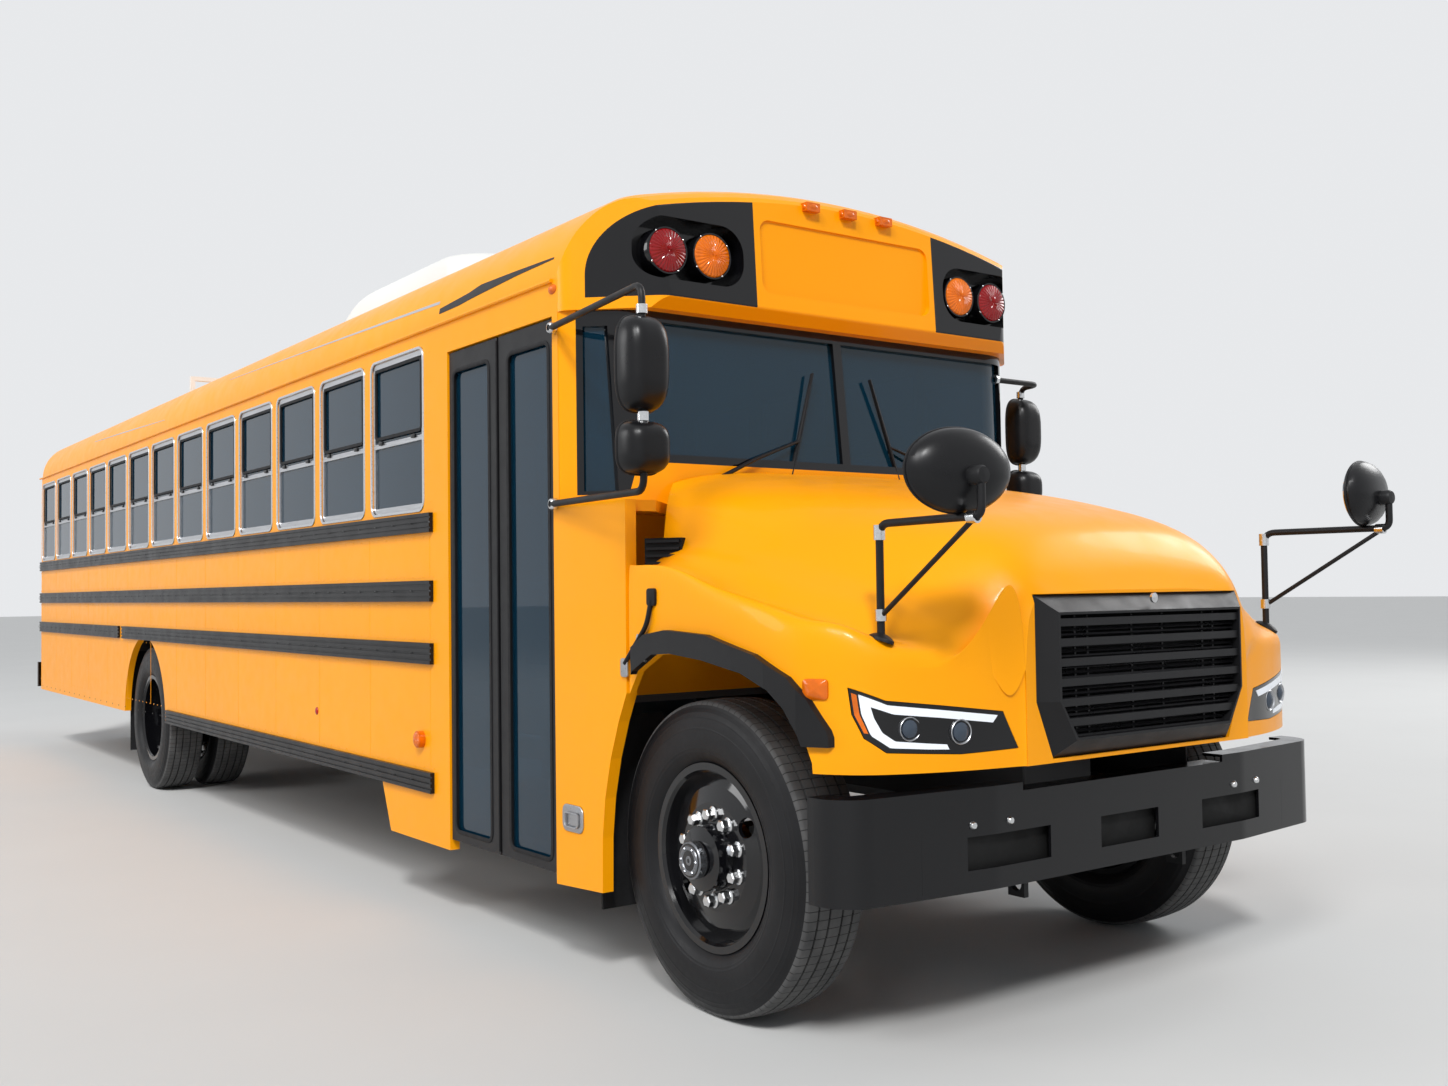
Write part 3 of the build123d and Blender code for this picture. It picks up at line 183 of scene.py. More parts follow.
class Finish:
    # small builder for a node material on Object coordinates
    def __init__(self, name):
        self.material = bpy.data.materials.new(name)
        self.material.use_nodes = True
        self.tree = self.material.node_tree
        self.shader = self.tree.nodes["Principled BSDF"]
        self.coords = self.tree.nodes.new("ShaderNodeTexCoord")
        self.height = None

    def set(self, **values):
        for key, value in values.items():
            self.shader.inputs[key.replace("_", " ")].default_value = value
        return self

    def node(self, kind, **values):
        made = self.tree.nodes.new(kind)
        for key, value in values.items():
            if key in made.inputs:
                made.inputs[key].default_value = value
            else:
                setattr(made, key, value)
        return made

    def link(self, a, b):
        self.tree.links.new(a, b)

    def place(self, stretch=(1, 1, 1)):
        mapping = self.node("ShaderNodeMapping")
        mapping.inputs["Scale"].default_value = stretch
        self.link(self.coords.outputs["Object"], mapping.inputs["Vector"])
        return mapping.outputs["Vector"]

    def noise(self, scale, detail=3, stretch=(1, 1, 1)):
        made = self.node("ShaderNodeTexNoise", Scale=scale, Detail=detail, Roughness=0.55)
        self.link(self.place(stretch), made.inputs["Vector"])
        return made.outputs["Fac"]

    def ramp(self, source, stops):
        made = self.node("ShaderNodeValToRGB")
        elements = made.color_ramp.elements
        for element, (at, colour) in zip(elements, stops):
            element.position = at
            element.color = (*colour, 1)
        self.link(source, made.inputs["Fac"])
        return made.outputs["Color"]

    def spread(self, source, low, high, fromLow=0.3, fromHigh=0.7):
        made = self.node("ShaderNodeMapRange")
        for key, value in zip(("From Min", "From Max", "To Min", "To Max"), (fromLow, fromHigh, low, high)):
            made.inputs[key].default_value = value
        self.link(source, made.inputs["Value"])
        return made.outputs["Result"]

    def colour(self, source):
        self.link(source, self.shader.inputs["Base Color"])

    def rough(self, source):
        self.link(source, self.shader.inputs["Roughness"])

    def bump(self, source, strength=0.2, distance=0.001):
        made = self.node("ShaderNodeBump", Strength=strength, Distance=distance)
        self.link(source, made.inputs["Height"])
        if self.height is not None:
            self.link(self.height, made.inputs["Normal"])
        self.height = made.outputs["Normal"]
        self.link(self.height, self.shader.inputs["Normal"])


def shaded(colour, change):
    return tuple(min(1, max(0, c * change)) for c in colour)


def paintFinish(name, colour, roughness, coat=0.0, grain=0.0, dust=0.04, orange=0.0, shine=0.25):
    # sprayed paint: slow colour drift, faint dust in the roughness, and a fine orange-peel bump
    f = Finish(name).set(Metallic=0.0, Coat_Weight=coat, Coat_Roughness=0.06, Specular_IOR_Level=shine)
    f.colour(f.ramp(f.noise(0.7, 2), [(0.3, shaded(colour, 1 - dust)), (0.7, shaded(colour, 1 + dust))]))
    f.rough(f.spread(f.noise(9, 4), roughness * 0.85, roughness * 1.2))
    if orange:
        f.bump(f.noise(220, 2), orange, 0.0006)
    if grain:
        f.bump(f.noise(900, 2), grain, 0.0004)
    return f.material


def metalFinish(name, colour, roughness, stretch=(1, 1, 1), dark=0.75, brushed=0.15):
    # bare metal with fine lines along one direction
    f = Finish(name).set(Metallic=1.0)
    lines = f.noise(160, 4, stretch)
    f.colour(f.ramp(lines, [(0.2, shaded(colour, dark)), (0.8, colour)]))
    f.rough(f.spread(lines, roughness * 0.8, roughness * 1.3))
    f.bump(lines, brushed, 0.0003)
    return f.material


def rubberFinish(name, colour, roughness=0.75, grain=0.5):
    # dull rubber: cloudy colour and a fine grain
    f = Finish(name).set(Specular_IOR_Level=0.2)
    f.colour(f.ramp(f.noise(6, 4), [(0.3, shaded(colour, 0.8)), (0.7, shaded(colour, 1.3))]))
    f.rough(f.spread(f.noise(40, 3), roughness * 0.85, roughness * 1.1))
    f.bump(f.noise(700, 2), grain, 0.0004)
    return f.material


def glassFinish(name, colour, roughness, clear):
    # tinted pane: part see-through, part dark film
    f = Finish(name).set(Transmission_Weight=clear, IOR=1.45, Roughness=roughness)
    f.colour(f.ramp(f.noise(1.5, 2), [(0.3, shaded(colour, 0.92)), (0.7, shaded(colour, 1.06))]))
    return f.material


def lensFinish(name, colour, glow=0.0, ribs=True):
    # lens plastic: fine prisms in the bump, slightly deeper colour in patches
    f = Finish(name).set(Roughness=0.12, Coat_Weight=0.2, Transmission_Weight=0.08, Specular_IOR_Level=0.3)
    f.colour(f.ramp(f.noise(25, 2), [(0.3, shaded(colour, 0.75)), (0.7, colour)]))
    if ribs:
        prisms = f.node("ShaderNodeTexWave", Scale=90.0, Distortion=0.0)
        f.link(f.place((0.02, 1, 1)), prisms.inputs["Vector"])
        f.bump(prisms.outputs["Fac"], 0.35, 0.0008)
    if glow:
        f.set(Emission_Color=(*colour, 1), Emission_Strength=glow)
    return f.material


def vinylFinish(name, colour):
    # upholstery vinyl: leather-like cells in the bump and soft sheen
    f = Finish(name).set(Sheen_Weight=0.15, Roughness=0.5)
    cells = f.node("ShaderNodeTexVoronoi", Scale=420.0)
    f.link(f.place(), cells.inputs["Vector"])
    f.colour(f.ramp(f.noise(3, 3), [(0.3, shaded(colour, 0.85)), (0.7, shaded(colour, 1.15))]))
    f.bump(cells.outputs["Distance"], 0.3, 0.0006)
    return f.material


# looks by kind: each row is name: (colour, and what the kind's function takes after it)
looks = {
    paintFinish: {
        "yellowPaint": ((0.93, 0.345, 0.0005), 0.34, {"coat": 0.10, "orange": 0.05, "dust": 0.03, "shine": 0.16}),
        "glossBlack": ((0.004, 0.004, 0.005), 0.12, {"coat": 0.35, "orange": 0.06, "dust": 0.2}),
        "frameBlack": ((0.010, 0.010, 0.011), 0.45, {"grain": 0.2, "dust": 0.25}),
        "railBlack": ((0.007, 0.007, 0.008), 0.34, {"grain": 0.1, "dust": 0.2}),
        "wheelBlack": ((0.004, 0.004, 0.005), 0.12, {"coat": 0.45, "orange": 0.08, "dust": 0.2}),
        "trimBlack": ((0.008, 0.008, 0.009), 0.42, {"grain": 0.3, "dust": 0.2}),
        "floorGrey": ((0.06, 0.062, 0.066), 0.6, {"grain": 0.6, "dust": 0.2}),
        "redEnamel": ((0.50, 0.006, 0.008), 0.28, {"coat": 0.4, "orange": 0.05}),
        "whitePlastic": ((0.74, 0.74, 0.71), 0.42, {"grain": 0.15, "dust": 0.06}),
        "engineGrey": ((0.12, 0.12, 0.125), 0.62, {"grain": 0.8, "dust": 0.3}),
        "bumperBlack": ((0.005, 0.005, 0.006), 0.20, {"coat": 0.15, "dust": 0.2}),
        "satinBlack": ((0.007, 0.007, 0.008), 0.30, {"grain": 0.1, "dust": 0.2}),
        "screenBlack": ((0.004, 0.004, 0.004), 0.7, {"grain": 0.2, "dust": 0.2}),
        "ledWhite": ((0.86, 0.90, 0.96), 0.18, {"coat": 0.5, "dust": 0.02}),
        "markGrey": ((0.40, 0.42, 0.44), 0.35, {"dust": 0.05}),
    },
    metalFinish: {
        "aluminium": ((0.62, 0.63, 0.65), 0.34, {"stretch": (0.05, 1, 1)}),
        "exhaustSteel": ((0.30, 0.27, 0.24), 0.5, {"dark": 0.5}),
        "frameSilver": ((0.66, 0.68, 0.70), 0.30, {"dark": 0.9, "brushed": 0.05}),
        "brightSteel": ((0.70, 0.71, 0.72), 0.20, {"dark": 0.8, "brushed": 0.05}),
        "satinSteel": ((0.46, 0.47, 0.49), 0.32, {"dark": 0.8, "brushed": 0.08}),
        "hubSteel": ((0.26, 0.27, 0.29), 0.30, {"dark": 0.7, "brushed": 0.10}),
        "mirrorGlass": ((0.62, 0.66, 0.70), 0.03, {"dark": 0.97, "brushed": 0.0}),
    },
    rubberFinish: {
        "rubber": ((0.013, 0.013, 0.014), 0.75, {}),
        "tyreWall": ((0.008, 0.008, 0.009), 0.45, {"grain": 0.2}),
        "gasket": ((0.007, 0.007, 0.008), 0.6, {"grain": 0.2}),
    },
    glassFinish: {
        "tintedGlass": ((0.006, 0.050, 0.095), 0.02, {"clear": 0.62}),
        "lampGlass": ((0.92, 0.93, 0.95), 0.03, {"clear": 0.97}),
        "darkGlass": ((0.05, 0.07, 0.10), 0.04, {"clear": 0.25}),
    },
    lensFinish: {
        "redLens": ((0.40, 0.002, 0.003), 0.0, {}),
        "amberLens": ((0.82, 0.16, 0.001), 0.0, {}),
        "warnRed": ((0.26, 0.002, 0.004), 0.10, {"ribs": False}),
        "warnAmber": ((0.80, 0.17, 0.001), 0.10, {"ribs": False}),
    },
}
finishes = {name: make(name, colour, value, **others)
            for make, rows in looks.items() for name, (colour, value, others) in rows.items()}
finishes["seatVinyl"] = vinylFinish("seatVinyl", (0.022, 0.030, 0.055))
print("materials made:", len(finishes))

slotFinish = {
    "yellow_paint": "yellowPaint", "gloss_black": "glossBlack", "frame_black": "frameBlack",
    "rail_black": "railBlack", "wheel_black": "wheelBlack", "trim_black": "trimBlack",
    "floor_grey": "floorGrey", "window_aluminium": "aluminium", "tinted_glass": "tintedGlass",
    "lamp_glass": "lampGlass", "red_lens": "redLens", "amber_lens": "amberLens",
    "red_enamel": "redEnamel", "engine_grey": "engineGrey", "exhaust_steel": "exhaustSteel",
    "flap_rubber": "rubber", "tyre_rubber": "tyreWall", "seat_vinyl": "seatVinyl",
    "white_plastic": "whitePlastic",
}
for subpart in frame["record"]["subparts"]:
    shown = nodes[subpart["node"]]
    shown.data.materials.clear()
    shown.data.materials.append(finishes[slotFinish[subpart["material_slot"]]])

# places shared by many pieces, in metres
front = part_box("front_bumper")[1][0] + 0.025
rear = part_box("rear_bumper")[0][0]
bodyHalf, hubHeight = 1.22, 0.525
frontAxle, rearAxle = front - 0.880, front - 7.930
capFront, bodyRear = front - 1.365, rear + 0.110


def behind(distance):
    return front - distance


def evenly(points, count):
    # a line of points divided into equal lengths
    points = np.asarray(points, float)
    along = np.concatenate([[0], np.cumsum(np.linalg.norm(np.diff(points, axis=0), axis=1))])
    at = np.linspace(0, along[-1], count)
    return np.stack([np.interp(at, along, points[:, k]) for k in range(points.shape[1])], -1)


def between(edgeA, edgeB, count=30, across=3):
    # grid of points that blends straight from one line to the other
    a, b = evenly(edgeA, count)[:, None], evenly(edgeB, count)[:, None]
    t = np.linspace(0, 1, across)[None, :, None]
    return a * (1 - t) + b * t


def skinOf(name):
    return BVHTree.FromObject(nodes[name], bpy.context.evaluated_depsgraph_get())


def draped(tree, grid, toward, proud, sunk=0.004):
    # slab that lies on a surface: each grid point is sent along toward, and the two faces stand
    # proud of and below the place where it lands
    flat = np.asarray(grid, float).reshape(-1, 3)
    hits = [tree.ray_cast(tuple(p), tuple(toward)) for p in flat]
    landed = next(h for h in hits if h[0] is not None)
    hits = [h if h[0] is not None else landed for h in hits]
    spots = np.array([h[0] for h in hits]).reshape(grid.shape)
    normals = np.array([h[1] for h in hits]).reshape(grid.shape)
    normals = normals * -np.sign((normals @ np.asarray(toward, float)))[..., None]
    top, low = spots + normals * proud, spots - normals * sunk
    return loftRings(np.concatenate([top, low[:, ::-1]], axis=1))


def ovalPoints(angle, half, power):
    # |a / halfWidth|^power + |b / halfHeight|^power = 1 at each angle: 2 is an ellipse, more is squarer
    waves = ((np.cos(angle), half[0]), (np.sin(angle), half[1]))
    return [np.sign(wave) * np.abs(wave) ** (2 / power) * reach for wave, reach in waves]


domeSteps = np.array([1, 1, 0.985, 0.95, 0.88, 0.78, 0.66, 0.54, 0.42, 0.30, 0.18, 0.08, 0.015])[:, None]


def lens(centre, axis, up, half, bulge, power=2.0, facets=0, sides=64, base=0.004):
    # dome on an oval: height bulge * (0.25 + 0.75 (1 - t^2)) at the share t of its reach, and optional
    # radial prisms that add 0.16 bulge * |sin(facets * angle / 2)| * sqrt(t)
    axis = unit(axis)
    up = unit(np.asarray(up, float) - np.dot(up, axis) * axis)
    side = np.cross(up, axis)
    angle = np.linspace(0, 2 * math.pi, sides, endpoint=False)
    a, b = ovalPoints(angle, half, power)
    t = domeSteps
    height = bulge * (0.25 + 0.75 * (1 - t ** 2))
    height[0], height[1] = -base, bulge * 0.12
    if facets:
        height = height + bulge * 0.16 * np.abs(np.sin(facets * angle / 2)) * (t < 0.96) * np.sqrt(t)
    height = np.broadcast_to(height, (len(t), sides))
    return loftRings(np.asarray(centre, float) + height[..., None] * axis
                     + (t * a)[..., None] * side + (t * b)[..., None] * up)


def dots(places, axis, radius, height, sides=8):
    # rivet heads: low closed domes of three short rings at many places
    profile = [(-0.001, radius), (height * 0.6, radius * 0.8), (height, radius * 0.35)]
    return copies(turned(profile, (0, 0, 0), axis, sides=sides, caps=True), places)


def repaint(thing, material, chosen):
    # second material on the faces whose centres meet the rule
    thing.data.materials.append(material)
    centres = np.empty(len(thing.data.polygons) * 3)
    thing.data.polygons.foreach_get("center", centres)
    slots = np.where(chosen(centres.reshape(-1, 3)), len(thing.data.materials) - 1, 0)
    thing.data.polygons.foreach_set("material_index", slots.astype(np.int32))


def row(x0, x1, pitch, y, z):
    # places along the bus, about a pitch apart
    xs = np.linspace(x0, x1, max(2, int(round(abs(x1 - x0) / pitch)) + 1))
    return np.stack([xs, np.full(len(xs), y), np.full(len(xs), z)], -1)


# tyres: stations are (radius, axial place) on the sidewall, grooves are axial places
tyreFacts = {
    "sidewall": ((0.318, 0.108), (0.345, 0.1290), (0.40, 0.1386), (0.455, 0.1333), (0.500, 0.1165)),
    "rings": (0.352, 0.364, 0.430, 0.468, 0.484), "ringHeight": 0.0012, "ringWidth": 0.0016,
    "crown": 0.5249, "crownDrop": 0.006, "grooves": (0.070, 0.026), "grooveHalf": 0.0045, "grooveDepth": 0.012,
    "sipes": 104, "treadFrom": 0.5085,
}


def tyreProfile(facts):
    # half section (axial place, radius) from the bead to the crown, then its mirror and the inside;
    # the sidewall is a quartic through its stations with a bell-shaped ridge at each ring
    stations = np.array(facts["sidewall"])
    r = np.arange(0.318, 0.4995, 0.0025)
    a = np.polyval(np.polyfit(stations[:, 0] - 0.4, stations[:, 1], 4), r - 0.4)
    for ring in facts["rings"]:
        a = a + facts["ringHeight"] * np.exp(-((r - ring) / facts["ringWidth"]) ** 2)
    bead, shoulder = [(0.1057, 0.294), (0.1057, 0.316)], [(0.1150, 0.507), (0.1125, 0.513), (0.1085, 0.5178)]

    def crown(place):
        return facts["crown"] - facts["crownDrop"] * (place / 0.108) ** 2

    half = [*bead, *zip(a, r), *shoulder, (0.104, crown(0.104))]
    w, d, lean = facts["grooveHalf"], facts["grooveDepth"], 0.001
    for g in facts["grooves"]:
        floor = crown(g) - d
        half += [(g + w, crown(g + w)), (g + w - lean, floor), (g - w + lean, floor), (g - w, crown(g - w))]
    inside = [(0.074, 0.294), (0.092, 0.400), (0.080, 0.470)]
    outer = half + [(0, crown(0))] + [(-p, q) for p, q in half[::-1]]
    return outer + [(-p, q) for p, q in inside] + [(0, 0.497)] + inside[::-1]


def treadFinish(name, x):
    # worn grey rubber, cut across by fine sipes at even angles about the axle
    f = Finish(name).set(Specular_IOR_Level=0.3)
    mapping = f.node("ShaderNodeMapping")
    mapping.inputs["Location"].default_value = (-x, 0, -hubHeight)
    f.link(f.coords.outputs["Object"], mapping.inputs["Vector"])
    parts = f.node("ShaderNodeSeparateXYZ")
    f.link(mapping.outputs["Vector"], parts.inputs["Vector"])
    turn = f.node("ShaderNodeMath", operation="ARCTAN2")
    f.link(parts.outputs["Z"], turn.inputs[0])
    f.link(parts.outputs["X"], turn.inputs[1])
    steps = f.node("ShaderNodeMath", operation="MULTIPLY")
    steps.inputs[1].default_value = tyreFacts["sipes"] / (2 * math.pi)
    f.link(turn.outputs[0], steps.inputs[0])
    saw = f.node("ShaderNodeMath", operation="FRACT")
    f.link(steps.outputs[0], saw.inputs[0])
    cut = f.spread(saw.outputs[0], 0, 1, 0.05, 0.10)
    worn = f.ramp(f.noise(9, 4), [(0.3, (0.055, 0.055, 0.056)), (0.7, (0.095, 0.094, 0.093))])
    mix = f.node("ShaderNodeMix", data_type="RGBA")
    mix.inputs["A"].default_value = (0.012, 0.012, 0.012, 1)
    f.link(cut, mix.inputs["Factor"])
    f.link(worn, mix.inputs["B"])
    f.colour(mix.outputs["Result"])
    f.rough(f.spread(f.noise(30, 3), 0.7, 0.95))
    f.bump(cut, 0.6, 0.002)
    f.bump(f.noise(500, 3), 0.4, 0.0006)
    return f.material


# each wheel set: axle, tyre middles, the faces that carry the nuts and the hub cap
wheelSets = {
    "front": {"x": frontAxle, "tyres": (0.990,), "nutFace": 1.0855, "hubFace": 1.1862,
              "node": "front_tyre_", "body": "wheel_front_"},
    "rear": {"x": rearAxle, "tyres": (1.050, 0.707), "nutFace": 0.8835, "hubFace": 1.0380,
             "node": "rear_tyres_", "body": "wheels_rear_"},
}
treads = {end: treadFinish(f"{end}Tread", wheels["x"]) for end, wheels in wheelSets.items()}
tyreShape = tyreProfile(tyreFacts)
for end, wheels in wheelSets.items():
    for sign, sideName in ((1, "left"), (-1, "right")):
        x = wheels["x"]
        patches = [turned(tyreShape, (x, sign * y, hubHeight), (0, 1, 0), sides=112, closed=True)
                   for y in wheels["tyres"]]
        made = piece(f"{end}Tyre_{sideName}", patches, finishes["tyreWall"], wheels["body"] + sideName,
                     smoothAngle=50)
        repaint(made, treads[end],
                lambda c, x=x: np.hypot(c[:, 0] - x, c[:, 2] - hubHeight) > tyreFacts["treadFrom"])
        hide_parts(wheels["node"] + sideName)
print("tyres ready")

nutFacts = {"count": 10, "circle": 0.143, "flange": 0.0262, "hex": 0.0208, "length": 0.036}
hubFacts = {
    "profile": [(-0.030, 0.0625), (-0.004, 0.0625), (-0.001, 0.060), (0.000, 0.050), (0.004, 0.048),
                (0.0045, 0.036), (0.001, 0.033), (0.001, 0.018), (0.003, 0.015), (0.0035, 0.001)],
    "screws": 6, "screwCircle": 0.042, "screwRadius": 0.0065, "screwHeight": 0.007,
}


def nutPatch(axis, facts):
    # round flange under a six-sided nut with a narrowed tip
    n, flangeRadius, hexRadius = facts["length"], facts["flange"], facts["hex"]
    flange = turned([(0, 0.001), (0, flangeRadius), (0.004, flangeRadius), (0.0075, hexRadius), (0.0075, 0.001)],
                    (0, 0, 0), axis, sides=20, caps=True)
    body = turned([(0.005, 0.001), (0.005, hexRadius), (n - 0.004, hexRadius), (n, hexRadius * 0.78), (n, 0.001)],
                  (0, 0, 0), axis, sides=6, caps=True)
    return joined([flange, body])


def circlePlaces(x, y, radius, count, shift=0.0):
    # places round the axle on a circle
    angle = 2 * math.pi * (np.arange(count) + shift) / count
    return np.stack([x + radius * np.cos(angle), np.full(count, y), hubHeight + radius * np.sin(angle)], -1)


for end, wheels in wheelSets.items():
    for sign, sideName in ((1, "left"), (-1, "right")):
        x, body, out = wheels["x"], wheels["body"] + sideName, (0, sign, 0)
        centres = circlePlaces(x, sign * wheels["nutFace"], nutFacts["circle"], nutFacts["count"], 0.5)
        piece(f"{end}WheelNuts_{sideName}", [copies(nutPatch(out, nutFacts), centres)],
              finishes["brightSteel"], body, smoothAngle=30)
        screw = lens((0, 0, 0), out, (0, 0, 1), (hubFacts["screwRadius"],) * 2, hubFacts["screwHeight"], sides=6)
        screws = copies(screw, circlePlaces(x, sign * (wheels["hubFace"] + 0.003), hubFacts["screwCircle"],
                                            hubFacts["screws"]))
        hub = turned(hubFacts["profile"], (x, sign * wheels["hubFace"], hubHeight), out, sides=48, caps=True)
        piece(f"{end}HubCap_{sideName}", [hub, screws], finishes["hubSteel"], body, smoothAngle=30)
print("wheels ready")

warningFacts = {
    "rows": {"Red": (0.887, 2.706), "Amber": (0.679, 2.711)}, "radius": 0.083, "bulge": 0.020, "prisms": 30,
    "rim": [(-0.066, 0.080), (-0.066, 0.0925), (0.001, 0.0925), (0.005, 0.090), (0.005, 0.084), (-0.002, 0.0825)],
    "screwCircle": 0.0875, "screwTurns": np.array([0.6, 2.2, 3.75, 5.3]),
}
warningEnds = ((capFront - 0.044, 1), (bodyRear + 0.044, -1))
for colourName, (y, z) in warningFacts["rows"].items():
    domes, rims, screws = [], [], []
    turns, circle = warningFacts["screwTurns"], warningFacts["screwCircle"]
    for (x, out), sign in [(end, sign) for end in warningEnds for sign in (1, -1)]:
        centre, axis = np.array([x, sign * y, z]), (out, 0, 0)
        domes.append(lens(centre, axis, (0, 0, 1), (warningFacts["radius"],) * 2, warningFacts["bulge"],
                          facets=warningFacts["prisms"], sides=120, base=0.060))
        rims.append(turned(warningFacts["rim"], centre, axis, sides=72, closed=True))
        places = np.stack([np.full(4, out * 0.004), circle * np.cos(turns), circle * np.sin(turns)], -1)
        screws.append(copies(lens((0, 0, 0), axis, (0, 0, 1), (0.004, 0.004), 0.003, sides=12), centre + places))
    made = piece(f"warningLens{colourName}", domes, finishes["warn" + colourName], "bus",
                 smoothAngle=18)
    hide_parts("warning_lamps")
    piece(f"warningRim{colourName}", rims, finishes["glossBlack"], "bus")
    piece(f"warningScrews{colourName}", screws, finishes["brightSteel"], "bus")
print("warning lamps ready")

# headlamps: outlines are (y, z) lines on the lamp's face, laid on it from ahead
headlampFacts = {
    "litBars": [
        ([(1.085, 1.105), (1.015, 1.072), (0.860, 1.053), (0.672, 1.029)],
         [(1.058, 1.068), (1.000, 1.045), (0.860, 1.030), (0.690, 1.008)]),
        ([(1.085, 1.104), (1.079, 1.046), (1.058, 0.984), (1.010, 0.947), (0.900, 0.939), (0.838, 0.936)],
         [(1.058, 1.068), (1.050, 1.035), (1.030, 0.992), (0.996, 0.966), (0.900, 0.956), (0.845, 0.951)]),
    ],
    "amberEdge": ([(1.100, 1.110), (1.094, 1.046), (1.074, 0.992)], [(1.089, 1.104), (1.083, 1.046), (1.064, 0.990)]),
    "projectors": ((0.955, 1.001, 0.036), (0.800, 0.986, 0.038)),  # y, z, radius
    "bezel": ((-0.03, 0.7), (-0.03, 1), (0.004, 1), (0.006, 0.95), (0.004, 0.88), (-0.002, 0.80), (-0.004, 0.70)),
}
lampSkin = skinOf("headlamps")
nodes["headlamps"].data.materials[0] = finishes["glossBlack"]


def fromAhead(line, sign):
    # (y, z) points as start points well ahead of the nose
    flat = np.asarray(line, float)
    return np.concatenate([np.full((len(flat), 1), front + 1.0), flat], axis=1) * (1, sign, 1)


litBars, ambers, bezels, eyes = [], [], [], []
for sign in (1, -1):
    for outer, inner in headlampFacts["litBars"]:
        grid = between(fromAhead(outer, sign), fromAhead(inner, sign), 40, 4)
        litBars.append(draped(lampSkin, grid, (-1, 0, 0), 0.0022))
    grid = between(*(fromAhead(line, sign) for line in headlampFacts["amberEdge"]), 16, 3)
    ambers.append(draped(lampSkin, grid, (-1, 0, 0), 0.0018))
    for y, z, radius in headlampFacts["projectors"]:
        hit = lampSkin.ray_cast((front + 1.0, sign * y, z), (-1, 0, 0))
        centre, out = np.array(hit[0]), unit(np.array(hit[1]) * 0.5 + np.array((0.5, 0, 0)))
        profile = np.array(headlampFacts["bezel"]) * (1, radius)
        bezels.append(turned(profile, centre, out, sides=56, closed=True))
        eyes.append(lens(centre, out, (0, 0, 1), (radius * 0.74, radius * 0.74), 0.012, sides=56))
piece("ledBars", litBars, finishes["ledWhite"], "hood", smoothAngle=50)
piece("lampAmberEdges", ambers, finishes["amberLens"], "hood")
piece("lampBezels", bezels, finishes["satinSteel"], "hood", smoothAngle=40)
piece("lampEyes", eyes, finishes["darkGlass"], "hood")

# small lamps: rows are (x, y, z, radius, bulge, prisms) mirrored to both sides
lampFacts = {
    "sideAmber": (behind(2.930), 1.2455, 0.765, 0.034, 0.010, 16),
    "tailAmber": (bodyRear - 0.022, 0.960, 1.340, 0.054, 0.014, 18),
    "tailRed": (bodyRear - 0.022, 0.960, 1.520, 0.082, 0.018, 26),
    "backup": (bodyRear - 0.022, 0.960, 1.180, 0.054, 0.014, 14),
    "reflector": (behind(4.274), 1.2205, 0.807, 0.020, 0.008, 0),
}
hoodSkin = skinOf("hood_shell")


def roundLamps(name, onSide=False, sides=64):
    # the lamp and its mirror image, facing sideways or to the rear
    x, y, z, radius, bulge, prisms = lampFacts[name]
    return [lens((x, sign * y, z), (0, sign, 0) if onSide else (-1, 0, 0), (0, 0, 1), (radius, radius), bulge,
                 facets=prisms, sides=sides) for sign in (1, -1)]


def identityLamps(x, out):
    # three small oval lamps over the windshield or the rear door
    return [lens((x, y, 2.967), (out, 0, 0.35), (0, 0, 1), (0.040, 0.021), 0.020, sides=40) for y in (-0.2, 0, 0.2)]


fenderMarkers, cornerLamps = [], []
for sign in (1, -1):
    hit = hoodSkin.ray_cast((behind(0.249), sign * 1.6, 1.119), (0, -sign, 0))
    fenderMarkers.append(lens(hit[0], hit[1], (0, 0, 1), (0.041, 0.031), 0.017, power=6, sides=72))
    cornerLamps.append(lens((behind(1.700), sign * 1.218, 2.572), (0, sign, 0), (0, 0, 1), (0.030, 0.019), 0.016,
                            sides=40))
piece("markerLamps", fenderMarkers, finishes["amberLens"], "hood")
piece("clearanceLamps", cornerLamps + identityLamps(capFront - 0.010, 1), finishes["amberLens"], "bus")
piece("turnLenses", roundLamps("sideAmber", True) + roundLamps("tailAmber"), finishes["amberLens"], "bus",
      smoothAngle=18)
piece("tailLenses", roundLamps("tailRed", sides=96) + roundLamps("reflector", True)
      + identityLamps(bodyRear + 0.012, -1), finishes["redLens"], "bus", smoothAngle=18)
piece("backupLenses", roundLamps("backup"), finishes["lampGlass"], "bus", smoothAngle=18)
print("lamps ready")

# mirrors: heads are (height of the middle, half height); tubes run from the body round the heads and back
mirrorFacts = {
    "heads": ((2.165, 0.160), (1.888, 0.088)), "halfWidth": 0.089, "depth": 0.098, "square": 3.4,
    "rim": 0.006, "paneInset": 0.006, "paneBulge": 0.008, "tubeRadius": 0.0125, "tubeBend": 0.05,
    "clampHeights": (2.345, 2.28, 2.05, 1.99, 1.93, 1.84),
    "foot": [(-0.014, 0.023), (0.004, 0.023), (0.010, 0.019), (0.012, 0.012), (-0.014, 0.012)],
}
sideMirrors = {
    "right": {"x": behind(0.930), "y": -1.330, "tube": [
        (behind(1.686), -1.236, 2.420), (behind(0.905), -1.330, 2.430), (behind(0.905), -1.330, 1.745),
        (behind(1.686), -1.236, 1.750)]},
    "left": {"x": behind(1.650), "y": 1.330, "tube": [
        (behind(1.500), 1.010, 2.376), (behind(1.500), 1.300, 2.376), (behind(1.635), 1.330, 2.376),
        (behind(1.635), 1.330, 1.780), (behind(1.500), 1.300, 1.780), (behind(1.500), 1.010, 1.780)]},
}


def closedTube(points, radius):
    # tube whose end meets its start
    return tube(np.concatenate([points, points[:1]]), radius, 8, up=(1, 0, 0), caps=False)


